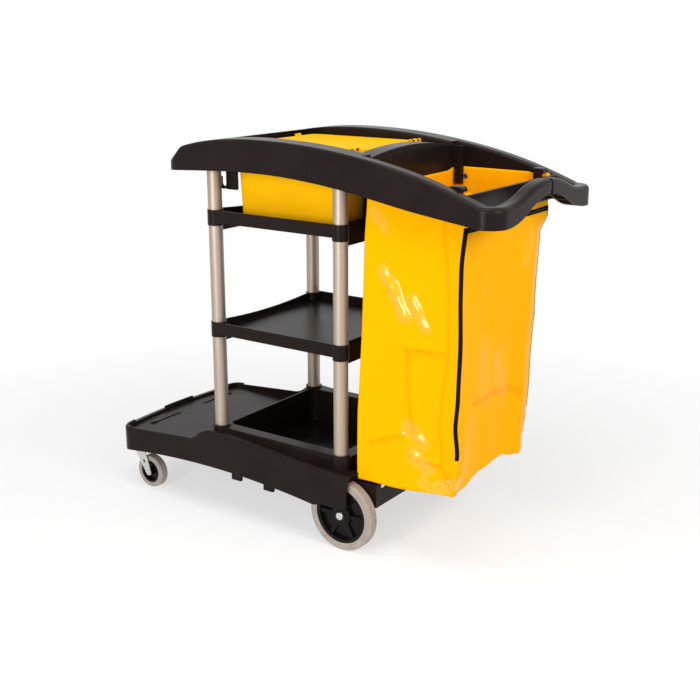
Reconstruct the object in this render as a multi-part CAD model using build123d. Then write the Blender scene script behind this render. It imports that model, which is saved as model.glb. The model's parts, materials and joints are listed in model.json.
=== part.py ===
from build123d import *
import os
from math import acos, atan2, cos, pi, sin

os.makedirs("parts", exist_ok=True)

# A cleaning cart: a moulded base on two fixed rear wheels and two swivel casters, four posts,
# two shelves, a hood with a push handle, a bin under the hood and a waste bag behind it.
# Millimetres. +X runs towards the push handle, +Y to the right of the person who pushes, +Z up.
# The origin is on the floor, midway between the front of the deck and the back of the handle.

# Overall
LENGTH = 1305.0
WIDTH = 552.0
WALL = 4.0
FIT = 0.05
PLAY = 0.3

# Posts
POST_D = 40.0
POST_TUBE_WALL = 2.0
POST_PITCH_X = 428.0
POST_INSET = 51.0
POST_TOP_Z = 1070.0
FRONT_OVERHANG = 398.0

# Rear wheels
WHEEL_D = 203.2
WHEEL_WIDTH = 32.0
WHEEL_INSET = 14.0
WHEEL_BACKSET = 23.0
TYRE_DEPTH = 21.6
TYRE_SHOULDER_R = 6.0
HUB_RIM_DEPTH = 10.0
HUB_RIM_INSET = 2.0
HUB_BOSS_R = 30.0
HUB_WEB = 6.0
HUB_SPOKES = 6
HUB_SPOKE_WIDTH = 12.0
HUB_SPOKE_INSET = 4.0
AXLE_R = 6.5
BUSH_WALL = 3.0
WASHER_T = 2.0
AXLE_CAP_R = 11.0
AXLE_CAP_T = 6.0
HOUSE_GAP = 5.0

# Casters
CASTER_D = 102.0
CASTER_WIDTH = 28.0
CASTER_TRAIL = 33.0
CASTER_SETBACK = 72.0
CASTER_SIDE_INSET = 48.0
CASTER_TYRE_DEPTH = 15.0
CASTER_BOSS_WIDTH = 34.0
CASTER_PIN_R = 4.0
CASTER_BOSS_R = 12.0
CASTER_RIM_DEPTH = 6.0
CASTER_RIM_INSET = 1.5
CASTER_SHOULDER_R = 5.0
CASTER_PLATE = (66.0, 60.0, 4.0)
CASTER_PLATE_R = 14.0
CASTER_PLATE_Z = 127.0
CASTER_BOLT_R = 4.0
CASTER_BOLT_GRIP = 30.0
CASTER_HEAD_R = 7.0
RACE_R = 27.0
RACE_H = 8.0
FORK_T = 3.0
FORK_CROWN_T = 4.0
FORK_TOP = 22.0
FORK_FOOT_R = 11.0
FORK_GAP = 1.0
FORK_HOLE_R = 5.0
KINGPIN_R = 6.0

# Base
BASE_WALL = 6.0
OVERRUN = 10.0
DECK_Z = 190.0
DECK_RISE = 22.0
DECK_RECESS = 5.0
DECK_RIM = 14.0
DECK_BOW = 24.0
DECK_CORNER_R = 42.0
LIP_H = 8.0
LIP_DEPTH = 60.0
LIP_MIDDLE = 65.0
LIP_CORNER = 61.0
FENDER_FRONT_Z = 254.0
FENDER_REAR_Z = 226.0
FENDER_REACH = 38.0
FENDER_BEND_R = 400.0
FENDER_LIP = 29.0
FENDER_LIP_Z = 174.0
SHOULDER_START = 120.0
SHOULDER_END = 10.0
SHOULDER_R = 12.0
SKIRT_ARCH_Z = 143.0
SKIRT_END_Z = 119.0
SKIRT_REAR = 84.0
TAB_Z = 127.0
TAB_CUT = 12.0
TAB_FRONT = 51.0
RIM_Z = 262.0
RIM_INSET = 36.0
CROWN_MARGIN = 10.0
WELL_FLOOR_Z = 155.0
WELL_POST_INSET = 22.0
WELL_CORNER_R = 22.0
WELL_END_GAP = 8.0
SOCKET_WALL = 6.0
SOCKET_RISE = 4.0
TAIL_LENGTH = 93.5
TAIL_WHEEL_GAP = 4.0
TAIL_Z = 200.0
TAIL_BOTTOM_Z = 134.0
TAIL_NOTCH = (26.0, 14.0)
TAIL_NOTCH_INSET = 38.0
HANGER_WIDTH = 56.0
HANGER_DROP = 20.0
HANGER_T = 20.0
RIB_T = 5.0
SLOT_LENGTH = 136.0
SLOT_WIDTH = 10.0
SLOT_OFFSET_Y = 122.0
SLOT_SETBACK = 68.0
SLOT_HOLE = (20.0, 24.0)
SLOT_HOLE_R = 4.0
DRAIN_R = 6.0
FOOT = (34.0, 10.0)
FOOT_FRONT_SETBACK = 60.0
FOOT_FRONT_Z = 105.0
FOOT_BACK_SETBACK = 180.0
FOOT_BACK_Z = 100.0

# Shelves
UPPER_SHELF_DROP = 171.0
MID_SHELF_Z = 578.0
SHELF_SIDE_H = 35.0
SHELF_APRON_H = 62.0
SHELF_DEPTH = 25.0
COLLAR_WALL = 2.5
COLLAR_H = 44.0
SHELF_SIDE_REACH = 20.0
SHELF_OVERHANG = 2.0
SHELF_RIB_H = 12.0
SHELF_RIB_Y = 80.0
SHELF_SCOOP = 8.0
SHELF_SCOOP_INSET = 40.0

# Hood
NOSE_OVERHANG = 136.0
NOSE_DROP = 67.0
NOSE_H = 9.0
NOSE_CORNER_R = 40.0
BROW_SETBACK = 56.0
BROW_R = 35.0
BROW_SLOPE = 0.3
BELLY_SLOPE = -0.05
HOLLOW_DROP = 5.0
SOCKET_GRIP = 46.0
BOSS_WALL = 4.0
HOOD_PEAK_RISE = 33.0
HOOD_FRONT_RISE = 1.0
HOOD_MID_RISE = 9.0
HOOD_REAR_DROP = 23.0
HOOD_REAR_SHARE = 0.46
RAIL_END_STEEPENING = 1.2
RAIL_BELLY_DROP = 55.0
RAIL_BEAM_DROP = 77.0
RAIL_BAG_DROP = 113.0
RAIL_WIDE = 76.0
RAIL_NARROW = 42.0
RAIL_EDGE_R = 8.0
SEAM_GAP = 1.2
TONGUE = (20.0, 18.0)
TONGUE_DROP = 34.0
FRONT_SEAM = 62.0
REAR_SEAM_LEAD = 68.0
BAY_FRONT = 8.0
MID_BEAM_START = 451.0
MID_BEAM_LENGTH = 54.0
MID_BEAM_RISE = 18.0
MID_BEAM_DROP = 85.0
HANDLE_CORNER_R = 50.0
HANDLE_LOW_DROP = 138.0
HANDLE_LOW_H = 53.0
HANDLE_RISE = 56.0
HANDLE_GRIP_H = 39.0
HANDLE_EDGE_R = 12.0
HANDLE_RIBS = 5
HANDLE_RIB_T = 2.5
CLIP_LENGTH = 24.0
CLIP_INSET = 1.5
REAR_BEAM_T = 9.0
REAR_BEAM_DROP = 127.0
REAR_BEAM_H = 62.0
HAND_GAP = 54.0
DIVIDER_HALF_WIDTH = 125.0
DIVIDER_FOOT = 33.0
DIVIDER_DROP = 10.0

# Bin and lid
BIN_FRONT_GAP = 48.5
BIN_REAR_GAP = 13.5
BIN_RAIL_GAP = 8.0
BIN_DRAFT = 7.0
BIN_TOP_RISE = 2.0
BIN_CORNER_R = 24.0
BIN_WALL = 3.0
BIN_RIM = 6.0
BIN_LIP = 16.0
LID_T = 4.0
LID_SIDE_GAP = 5.0
LID_NOTCH = 0.6
LID_TAB = (24.0, 5.0, 11.0)
LID_TAB_INSET = 80.0
HINGE_INSET = 42.0
HINGE_SPAN = 50.0
HINGE_R = 5.5
HINGE_LIFT = 4.0
HINGE_PIN_R = 2.5
HINGE_WIDTH = 10.0
HINGE_EAR = 4.0

# Bag
BAG_WALL = 3.0
BAG_BOTTOM_Z = 207.0
BAG_TOP_DROP = 62.0
BAG_RAIL_GAP = 10.0
BAG_BULGE = 26.0
BAG_CORNER_R = 8.0
BAG_BELLY_Z = 400.0
BAG_CLEAR = 2.0
ZIP_WIDTH = 12.0
ZIP_T = 1.2
ZIP_TOP_DROP = 84.0
ZIP_END_Z = 335.0
ZIP_EDGE = 9.0
SLIDER = (4.0, 9.0, 16.0)
SLIDER_TAB = (1.6, 6.0, 26.0)
SLIDER_Y = 8.0

# Hooks
STRAP = (20.0, 14.0)
STRAP_DROP = 46.0
STRAP_TOP_GAP = 11.0
STRAP_LIFT = 2.0
HOOK_LEG = 24.0
KNOB_LENGTH = 40.0
KNOB_SETBACK = 33.0
KNOB_H = 12.0
KNOB_R = 8.0
TOOL_BLOCK = (36.0, 10.0, 46.0)
TOOL_SEAT_DROP = 70.0
TOOL_HOOK_R = 13.0
TOOL_HOOK_T = 6.0
TOOL_HOOK_TIP = 18.0

# Places worked out from the sizes above
FRONT_X = -LENGTH / 2
REAR_X = LENGTH / 2
SIDE_Y = WIDTH / 2
POST_R = POST_D / 2
POST_X0 = FRONT_X + FRONT_OVERHANG
POST_X1 = POST_X0 + POST_PITCH_X
POST_Y = SIDE_Y - POST_INSET
WHEEL_R = WHEEL_D / 2
HOUSE_R = WHEEL_R + HOUSE_GAP
POST_FOOT_Z = WHEEL_R + HOUSE_R + BASE_WALL + PLAY
WHEEL_X = POST_X1 + WHEEL_BACKSET
WHEEL_OUT_Y = SIDE_Y - WHEEL_INSET
WHEEL_IN_Y = WHEEL_OUT_Y - WHEEL_WIDTH
TAIL_HALF_WIDTH = WHEEL_IN_Y - TAIL_WHEEL_GAP
WELL_HALF_WIDTH = POST_Y - WELL_POST_INSET
SHELF_HALF_WIDTH = POST_Y + SHELF_SIDE_REACH
UPPER_SHELF_Z = POST_TOP_Z - UPPER_SHELF_DROP
WELL_X0 = POST_X0 + WELL_END_GAP
CROWN_X0 = WELL_X0 - BASE_WALL
CROWN_X1 = POST_X1 + POST_R + CROWN_MARGIN
TRAY_Z = DECK_Z - DECK_RECESS
CASTER_X = FRONT_X + CASTER_SETBACK
CASTER_Y = SIDE_Y - CASTER_SIDE_INSET
CASTER_R = CASTER_D / 2
CASTER_TOP_Z = CASTER_PLATE_Z + CASTER_PLATE[2]
RAIL_WIDE_Y = SIDE_Y - RAIL_WIDE
RAIL_NARROW_Y = SIDE_Y - RAIL_NARROW
NOSE_X = POST_X0 - NOSE_OVERHANG
NOSE_Z = POST_TOP_Z - NOSE_DROP
HOOD_PEAK_Z = POST_TOP_Z + HOOD_PEAK_RISE
HOOD_FRONT_Z = POST_TOP_Z + HOOD_FRONT_RISE
HOOD_MID_Z = POST_TOP_Z + HOOD_MID_RISE
HOOD_REAR_Z = POST_TOP_Z - HOOD_REAR_DROP
RAIL_BELLY_Z = POST_TOP_Z - RAIL_BELLY_DROP
RAIL_BEAM_Z = POST_TOP_Z - RAIL_BEAM_DROP
RAIL_BAG_Z = POST_TOP_Z - RAIL_BAG_DROP
TONGUE_Z = POST_TOP_Z - TONGUE_DROP
HANDLE_LOW_Z = POST_TOP_Z - HANDLE_LOW_DROP
REAR_BEAM_Z = POST_TOP_Z - REAR_BEAM_DROP
TOOL_SEAT_Z = POST_TOP_Z - TOOL_SEAT_DROP
SEAM_X0 = POST_X0 + FRONT_SEAM
SEAM_X1 = POST_X1 - REAR_SEAM_LEAD
MID_BEAM_X0 = POST_X0 + MID_BEAM_START
MID_BEAM_X1 = MID_BEAM_X0 + MID_BEAM_LENGTH
CORNER_X = REAR_X - HANDLE_CORNER_R
CORNER_Y = SIDE_Y - HANDLE_CORNER_R
HOOD_REAR_X = MID_BEAM_X1 + HOOD_REAR_SHARE * (CORNER_X - MID_BEAM_X1)
HANDLE_X0 = REAR_X - RAIL_NARROW
REAR_BEAM_X1 = HANDLE_X0 - HAND_GAP
REAR_BEAM_X0 = REAR_BEAM_X1 - REAR_BEAM_T
BAG_X0 = MID_BEAM_X1 + BAG_CLEAR
BAG_X1 = REAR_BEAM_X0 - BAG_CLEAR
BAG_HALF_WIDTH = RAIL_NARROW_Y - BAG_RAIL_GAP
BAG_TOP_Z = POST_TOP_Z - BAG_TOP_DROP
ZIP_TOP_Z = BAG_TOP_Z - ZIP_TOP_DROP
DIVIDER_X0 = POST_X1 + SHELF_OVERHANG
BIN_X0 = POST_X0 + BIN_FRONT_GAP
BIN_X1 = DIVIDER_X0 - BIN_REAR_GAP
BIN_LENGTH = BIN_X1 - BIN_X0
BAY_X0 = POST_X0 - BAY_FRONT
BIN_HALF_WIDTH = RAIL_WIDE_Y - BIN_RAIL_GAP
BIN_TOP_Z = POST_TOP_Z + BIN_TOP_RISE
BIN_BOTTOM_Z = UPPER_SHELF_Z - SHELF_DEPTH
LID_Z0 = BIN_TOP_Z + PLAY
LID_Z1 = LID_Z0 + LID_T
HINGE_X = BIN_X1
HINGE_Y = BIN_HALF_WIDTH - HINGE_INSET
LID_TAB_Y = BIN_HALF_WIDTH - LID_TAB_INSET
HINGE_Z = LID_Z1 + HINGE_LIFT
HANDLE_LOW_TOP = HANDLE_LOW_Z + HANDLE_LOW_H


def block(x0, x1, y0, y1, z0, z1):
    """Box between two corners."""
    return Pos((x0 + x1) / 2, (y0 + y1) / 2, (z0 + z1) / 2) * Box(x1 - x0, y1 - y0, z1 - z0)


def side_prism(face, y0, y1):
    """Solid from a face drawn in X and Z, between two Y planes."""
    return Pos(0, y0, 0) * extrude(Plane.XZ * face, amount=-(y1 - y0))


def cross_prism(face, x0, x1):
    """Solid from a face drawn in Y and Z, between two X planes."""
    return Pos(x0, 0, 0) * extrude(Plane.YZ * face, amount=x1 - x0)


def rod(x, y, z, radius, length, along):
    """Cylinder that starts at a point and runs along +X, +Y or +Z."""
    turn = {"x": Rot(0, 90, 0), "y": Rot(-90, 0, 0), "z": Rot(0, 0, 0)}[along]
    start = Align.MIN
    return Pos(x, y, z) * turn * Cylinder(radius, length, align=(Align.CENTER, Align.CENTER, start))


def ring(x, y, z, outer, inner, length, along):
    """Cylinder with a bore right through it."""
    return rod(x, y, z, outer, length, along) - rod(x, y, z, inner, length, along)


def across(shape):
    """Mirror image on the other side of the cart."""
    return mirror(shape, about=Plane.XZ)


def s_curve(start, end):
    """Two equal arcs that leave one point level and reach the other level."""
    (x0, z0), (x1, z1) = start, end
    run = (x1 - x0) / 2
    rise = (z1 - z0) / 2
    middle = (x0 + run, z0 + rise)
    radius = (run * run + rise * rise) / (2 * abs(rise))
    half_turn = atan2(abs(run), radius - abs(rise)) / 2
    step = radius * sin(half_turn) * (1 if run > 0 else -1)
    lift = radius * (1 - cos(half_turn)) * (1 if rise > 0 else -1)
    first = ThreePointArc(start, (x0 + step, z0 + lift), middle)
    second = ThreePointArc(middle, (x1 - step, z1 - lift), end)
    return [first, second]


def bend_down(start, end, radius):
    """Short arc that leaves its first point level, then a straight line down to the second point."""
    run = end[0] - start[0]
    rise = end[1] - start[1] + radius
    reach = (run * run + rise * rise) ** 0.5
    turn = pi / 2 - atan2(rise, run) - acos(radius / reach)
    half_way = (start[0] + radius * sin(turn / 2), start[1] - radius * (1 - cos(turn / 2)))
    bend_end = (start[0] + radius * sin(turn), start[1] - radius * (1 - cos(turn)))
    return [ThreePointArc(start, half_way, bend_end), Line(bend_end, end)]


def chain(points):
    """Straight edges through a list of points."""
    return [Line(a, b) for a, b in zip(points, points[1:])]


def plan_rectangle(x0, x1, half):
    """Face seen from above, as wide on the left as on the right."""
    return make_face(chain([(x0, -half), (x1, -half), (x1, half), (x0, half), (x0, -half)]))


def save(node, *solids):
    """Write one named piece, or one group of like pieces."""
    shape = solids[0] if len(solids) == 1 else Compound(children=list(solids))
    export_step(shape, f"parts/{node}.step")


def save_pair(name, shape):
    """Write a piece of the right side and its mirror image on the left."""
    save(f"right_{name}", shape)
    save(f"left_{name}", across(shape))


# Base

def base_side(inset):
    """Outline of the base from the side; the inset one is the hollow, open below and behind."""
    rear = (WHEEL_X + FENDER_REACH, FENDER_REAR_Z - inset)
    nose = FRONT_X - OVERRUN
    if inset:
        roof = TRAY_Z - inset
        step_x = CROWN_X0 + inset
        back = WHEEL_X + WHEEL_R
        return make_face(chain([
            (nose, roof), (step_x, roof), (step_x, FENDER_FRONT_Z - inset), rear,
            (back, rear[1]), (back, 0.0), (nose, 0.0), (nose, roof)]))
    rise = (POST_X0 - SHOULDER_START, DECK_Z + DECK_RISE)
    crest = (POST_X0 - SHOULDER_END, FENDER_FRONT_Z)
    edges = [Line((nose, DECK_Z), rise)]
    edges += s_curve(rise, crest)
    edges += bend_down(crest, rear, FENDER_BEND_R)
    lip_x = WHEEL_X + FENDER_LIP
    lip = (lip_x, FENDER_LIP_Z)
    skirt_rear = (WHEEL_X - SKIRT_REAR, SKIRT_END_Z)
    skirt_front = (FRONT_X + DECK_BOW, SKIRT_END_Z)
    hollow_point = ((rear[0] + 2 * lip_x) / 3, (2 * rear[1] + FENDER_LIP_Z) / 3 - BASE_WALL)
    edges += [ThreePointArc(rear, hollow_point, lip)]
    tab = [(lip_x, TAB_Z + TAB_CUT), (lip_x - TAB_CUT, TAB_Z), (WHEEL_X - TAB_FRONT, TAB_Z)]
    edges += chain([lip, *tab, skirt_rear])
    edges += [ThreePointArc(skirt_rear, (POST_X0 + FRONT_SEAM, SKIRT_ARCH_Z), skirt_front)]
    edges += chain([skirt_front, (nose, SKIRT_END_Z), (nose, DECK_Z)])
    return make_face(edges)


def base_plan(inset):
    """Outline of the base from above, with a bowed front edge and round front corners."""
    back = WHEEL_X + WHEEL_R
    front = FRONT_X + inset
    corner = FRONT_X + DECK_BOW + inset
    half = SIDE_Y - inset
    edges = [ThreePointArc((corner, -half), (front, 0), (corner, half))]
    edges += chain([(corner, half), (back, half), (back, -half), (corner, -half)])
    face = make_face(edges)
    corners = face.vertices().sort_by(Axis.X)[:2]
    return fillet(corners, DECK_CORNER_R - inset)


def base_shell(inset):
    """Outer form of the base, or its hollow."""
    hull = side_prism(base_side(inset), -SIDE_Y, SIDE_Y)
    if not inset:
        shoulder = [
            edge for edge in hull.edges()
            if abs(abs(edge.center().Y) - SIDE_Y) < FIT
            and edge.center().Z > DECK_Z - FIT
            and edge.center().X < WHEEL_X
        ]
        hull = fillet(shoulder, SHOULDER_R)
    return hull & extrude(base_plan(inset), amount=RIM_Z)


def crown(inset):
    """Raised band round the well, which holds the post sockets."""
    half = SIDE_Y - RIM_INSET - inset
    return block(CROWN_X0 + inset, CROWN_X1 - inset, -half, half, WELL_FLOOR_Z, RIM_Z - inset)


def well(grow, z0, z1):
    """Deep tray between the posts."""
    x0 = WELL_X0 - grow
    x1 = POST_X1 - WELL_END_GAP + grow
    plan = RectangleRounded(x1 - x0, 2 * (WELL_HALF_WIDTH + grow), WELL_CORNER_R + grow)
    return Pos((x0 + x1) / 2, 0, z0) * extrude(plan, amount=z1 - z0)


def make_tail():
    """Box under the bag, open below, with a notch near each end of its rear wall."""
    x0 = POST_X1 - WELL_END_GAP
    x1 = WHEEL_X + TAIL_LENGTH
    half = TAIL_HALF_WIDTH - BASE_WALL
    tail = block(x0, x1, -TAIL_HALF_WIDTH, TAIL_HALF_WIDTH, TAIL_BOTTOM_Z, TAIL_Z)
    tail -= block(x0, x1 - BASE_WALL, -half, half, TAIL_BOTTOM_Z, TAIL_Z - BASE_WALL)
    for side in (-1, 1):
        y = side * (TAIL_HALF_WIDTH - TAIL_NOTCH_INSET)
        z = TAIL_Z - BASE_WALL - TAIL_NOTCH[1]
        half_notch = TAIL_NOTCH[0] / 2
        tail -= block(x1 - BASE_WALL, x1, y - half_notch, y + half_notch, z, z + TAIL_NOTCH[1])
    return tail


def make_under_ribs():
    """Waffle of ribs under the deck that meets each caster plate."""
    half_x = CASTER_PLATE[0] / 2
    half_y = CASTER_PLATE[1] / 2
    top = TRAY_Z - BASE_WALL / 2
    ribs = []
    for side in (-1, 1):
        y = side * CASTER_Y
        for step in (-1, 0, 1):
            rib_x = CASTER_X + step * (half_x - RIB_T)
            rib_y = y + step * (half_y - RIB_T)
            ribs.append(block(rib_x - RIB_T, rib_x + RIB_T, y - half_y, y + half_y, CASTER_TOP_Z, top))
            ribs.append(block(
                CASTER_X - half_x, CASTER_X + half_x, rib_y - RIB_T, rib_y + RIB_T, CASTER_TOP_Z, top))
    return ribs


def make_lips():
    """Raised lips at the corners and the middle of the front edge of the deck."""
    lips = extrude(base_plan(WALL), amount=DECK_Z + LIP_H) - extrude(base_plan(DECK_RIM - WALL), amount=RIM_Z)
    lips &= block(FRONT_X, FRONT_X + LIP_DEPTH, -SIDE_Y, SIDE_Y, DECK_Z - BASE_WALL, RIM_Z)
    for side in (-1, 1):
        y0, y1 = sorted((side * LIP_MIDDLE, side * (SIDE_Y - LIP_CORNER)))
        lips -= block(FRONT_X, FRONT_X + LIP_DEPTH, y0, y1, DECK_Z - BASE_WALL, RIM_Z)
    return lips


def make_base():
    post_places = [(x, y) for x in (POST_X0, POST_X1) for y in (-POST_Y, POST_Y)]
    house_y1 = SIDE_Y - BASE_WALL

    base = base_shell(0.0) + crown(0.0)
    base -= base_shell(BASE_WALL)
    base -= crown(BASE_WALL)

    # The deck is a tray up to the well, with slots for a strap; each slot is wider at its outer end.
    tray = extrude(base_plan(DECK_RIM), amount=RIM_Z)
    base -= tray & block(FRONT_X, CROWN_X0, -SIDE_Y, SIDE_Y, TRAY_Z, RIM_Z)
    base += make_lips()
    slot_plan = Rot(0, 0, 90) * SlotOverall(SLOT_LENGTH, SLOT_WIDTH)
    slot_plan += Pos(0, (SLOT_LENGTH - SLOT_HOLE[1]) / 2) * RectangleRounded(*SLOT_HOLE, SLOT_HOLE_R)
    slot = Pos(FRONT_X + SLOT_SETBACK, SLOT_OFFSET_Y, 0) * extrude(slot_plan, amount=RIM_Z)
    base -= slot
    base -= across(slot)

    # Behind the well the shell is only a fender over each wheel.
    base -= block(CROWN_X1, REAR_X, -TAIL_HALF_WIDTH, TAIL_HALF_WIDTH, TAIL_BOTTOM_Z, RIM_Z)

    # The tail, the walls of the well and the ribs close the hollow of the shell.
    base += make_tail()
    base += block(CROWN_X1 - BASE_WALL, CROWN_X1, -TAIL_HALF_WIDTH, TAIL_HALF_WIDTH, TAIL_Z - BASE_WALL,
                  RIM_Z - BASE_WALL / 2)
    base += well(BASE_WALL, WELL_FLOOR_Z - BASE_WALL, RIM_Z)
    for rib in make_under_ribs():
        base += rib
    base -= well(0.0, WELL_FLOOR_Z, RIM_Z + OVERRUN)

    # Each post stands in a round socket with a floor.
    for x, y in post_places:
        socket_z = TRAY_Z - BASE_WALL if x == POST_X0 else POST_FOOT_Z - BASE_WALL
        base += rod(x, y, socket_z, POST_R + SOCKET_WALL, RIM_Z + SOCKET_RISE - socket_z, "z")

    # A curved roof keeps each wheel clear of the post above it.
    for side in (-1, 1):
        y0, y1 = sorted((side * TAIL_HALF_WIDTH, side * house_y1))
        roof = rod(WHEEL_X, y0, WHEEL_R, HOUSE_R + BASE_WALL, y1 - y0, "y")
        base += roof & block(FRONT_X, WHEEL_X + FENDER_LIP, y0, y1, FENDER_LIP_Z, RIM_Z)
        base -= rod(WHEEL_X, y0, WHEEL_R, HOUSE_R, y1 - y0, "y")

    # Hangers carry the rear axle below the tail, and short feet guard the skirt.
    for side in (-1, 1):
        y0, y1 = sorted((side * (TAIL_HALF_WIDTH - HANGER_T), side * TAIL_HALF_WIDTH))
        base += block(WHEEL_X - HANGER_WIDTH / 2, WHEEL_X + HANGER_WIDTH / 2, y0, y1, WHEEL_R, TAIL_Z - WALL)
        base += rod(WHEEL_X, y0, WHEEL_R, HANGER_DROP, y1 - y0, "y")
        foot_y = side * (SIDE_Y - RIM_INSET - FOOT[1] / 2)
        for setback, foot_z in ((FOOT_FRONT_SETBACK, FOOT_FRONT_Z), (FOOT_BACK_SETBACK, FOOT_BACK_Z)):
            x = POST_X0 + setback
            base += block(x - FOOT[0] / 2, x + FOOT[0] / 2, foot_y - FOOT[1] / 2, foot_y + FOOT[1] / 2, foot_z,
                          RIM_Z - BASE_WALL / 2)

    # Bores for the posts, the axle, the caster bolts and the drains come last.
    for x, y in post_places:
        base -= rod(x, y, POST_FOOT_Z, POST_R + FIT, RIM_Z, "z")
    base -= rod(WHEEL_X, -TAIL_HALF_WIDTH, WHEEL_R, AXLE_R + FIT, 2 * TAIL_HALF_WIDTH, "y")
    for x, y in caster_bolt_places():
        base -= rod(x, y, CASTER_TOP_Z, CASTER_BOLT_R + FIT, CASTER_BOLT_GRIP, "z")
    for y in (-POST_Y / 2, POST_Y / 2):
        base -= rod(POST_X0 + POST_PITCH_X / 5, y, WELL_FLOOR_Z - BASE_WALL, DRAIN_R, BASE_WALL, "z")
    return base


def caster_bolt_places():
    """Bolt centres of both caster plates."""
    half_x = CASTER_PLATE[0] / 2 - RIB_T
    half_y = CASTER_PLATE[1] / 2 - RIB_T
    return [
        (CASTER_X + i * half_x, side * CASTER_Y + j * half_y)
        for side in (-1, 1) for i in (-1, 1) for j in (-1, 1)
    ]


save("base_deck", make_base())


# Rear wheels

def make_hub():
    """Spoked wheel hub on the right."""
    radius = WHEEL_R - TYRE_DEPTH
    bore = AXLE_R + BUSH_WALL + FIT
    rim_y0 = WHEEL_IN_Y + HUB_RIM_INSET
    rim_width = WHEEL_WIDTH - 2 * HUB_RIM_INSET
    web_y0 = WHEEL_IN_Y + (WHEEL_WIDTH - HUB_WEB) / 2
    hub = ring(WHEEL_X, rim_y0, WHEEL_R, radius, radius - HUB_RIM_DEPTH, rim_width, "y")
    hub += rod(WHEEL_X, web_y0, WHEEL_R, radius - HUB_RIM_DEPTH / 2, HUB_WEB, "y")
    hub += rod(WHEEL_X, BOSS_Y0, WHEEL_R, HUB_BOSS_R, BOSS_Y1 - BOSS_Y0, "y")
    reach = radius - HUB_RIM_DEPTH / 2
    spoke_half = HUB_SPOKE_WIDTH / 2
    spoke_y0 = rim_y0 + HUB_SPOKE_INSET
    spoke_y1 = rim_y0 + rim_width - HUB_SPOKE_INSET
    for step in range(HUB_SPOKES):
        spoke = block(0, reach, spoke_y0, spoke_y1, -spoke_half, spoke_half)
        hub += Pos(WHEEL_X, 0, WHEEL_R) * Rot(0, 360 * step / HUB_SPOKES, 0) * spoke
    return hub - rod(WHEEL_X, BOSS_Y0, WHEEL_R, bore, BOSS_Y1 - BOSS_Y0, "y")


def make_tyre(x, y, z, outer, inner, width, shoulder):
    """Solid tyre with round shoulders."""
    tyre = rod(x, y, z, outer, width, "y")
    edges = [edge for edge in tyre.edges() if edge.geom_type == GeomType.CIRCLE]
    return fillet(edges, shoulder) - rod(x, y, z, inner + FIT, width, "y")


BOSS_Y0 = TAIL_HALF_WIDTH + WASHER_T + PLAY
BOSS_Y1 = WHEEL_OUT_Y - WASHER_T - PLAY
CAP_Y0 = WHEEL_OUT_Y
AXLE_END_Y = CAP_Y0 + AXLE_CAP_T - WASHER_T

save_pair("wheel_hub", make_hub())
save_pair("wheel_tyre", make_tyre(
    WHEEL_X, WHEEL_IN_Y, WHEEL_R, WHEEL_R, WHEEL_R - TYRE_DEPTH, WHEEL_WIDTH, TYRE_SHOULDER_R))
save_pair("wheel_bush", ring(
    WHEEL_X, BOSS_Y0, WHEEL_R, AXLE_R + BUSH_WALL, AXLE_R + FIT, BOSS_Y1 - BOSS_Y0, "y"))
save("rear_axle", rod(WHEEL_X, -AXLE_END_Y, WHEEL_R, AXLE_R, 2 * AXLE_END_Y, "y"))
inner_washer = ring(WHEEL_X, TAIL_HALF_WIDTH, WHEEL_R, AXLE_CAP_R, AXLE_R + FIT, WASHER_T, "y")
outer_washer = ring(WHEEL_X, CAP_Y0 - WASHER_T, WHEEL_R, AXLE_CAP_R, AXLE_R + FIT, WASHER_T, "y")
save("axle_washers", inner_washer, outer_washer, across(inner_washer), across(outer_washer))
axle_cap = rod(WHEEL_X, CAP_Y0, WHEEL_R, AXLE_CAP_R, AXLE_CAP_T, "y")
axle_cap = fillet(axle_cap.edges().filter_by(GeomType.CIRCLE).sort_by(Axis.Y)[-1:], WASHER_T)
axle_cap -= rod(WHEEL_X, CAP_Y0, WHEEL_R, AXLE_R + FIT, AXLE_END_Y - CAP_Y0, "y")
save("axle_caps", axle_cap, across(axle_cap))


# Casters

def make_fork():
    """Swivel fork on the right: a crown and two legs that taper to the axle."""
    crown_z0 = CASTER_PLATE_Z - RACE_H - PLAY - FORK_CROWN_T
    crown_z1 = crown_z0 + FORK_CROWN_T
    outer_y = CASTER_BOSS_WIDTH / 2 + FORK_GAP + FORK_T
    fork = rod(CASTER_X, CASTER_Y, crown_z0, RACE_R, FORK_CROWN_T, "z")
    fork += block(
        CASTER_X - FORK_TOP, CASTER_X + FORK_TOP, CASTER_Y - outer_y, CASTER_Y + outer_y, crown_z0, crown_z1)
    foot = Pos(CASTER_X + CASTER_TRAIL, CASTER_R) * Circle(FORK_FOOT_R)
    top = Line((CASTER_X - FORK_TOP, crown_z1), (CASTER_X + FORK_TOP, crown_z1))
    leg = make_hull(foot.edges() + top.edges())
    leg -= Pos(CASTER_X + CASTER_TRAIL / 2, (CASTER_R + crown_z1) / 2) * Circle(FORK_HOLE_R)
    fork += side_prism(leg, CASTER_Y - outer_y, CASTER_Y - outer_y + FORK_T)
    fork += side_prism(leg, CASTER_Y + outer_y - FORK_T, CASTER_Y + outer_y)
    fork -= rod(CASTER_X, CASTER_Y, crown_z0, KINGPIN_R + FIT, FORK_CROWN_T, "z")
    return fork - rod(AXLE_X, CASTER_Y - outer_y, CASTER_R, CASTER_PIN_R + FIT, 2 * outer_y, "y")


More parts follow.
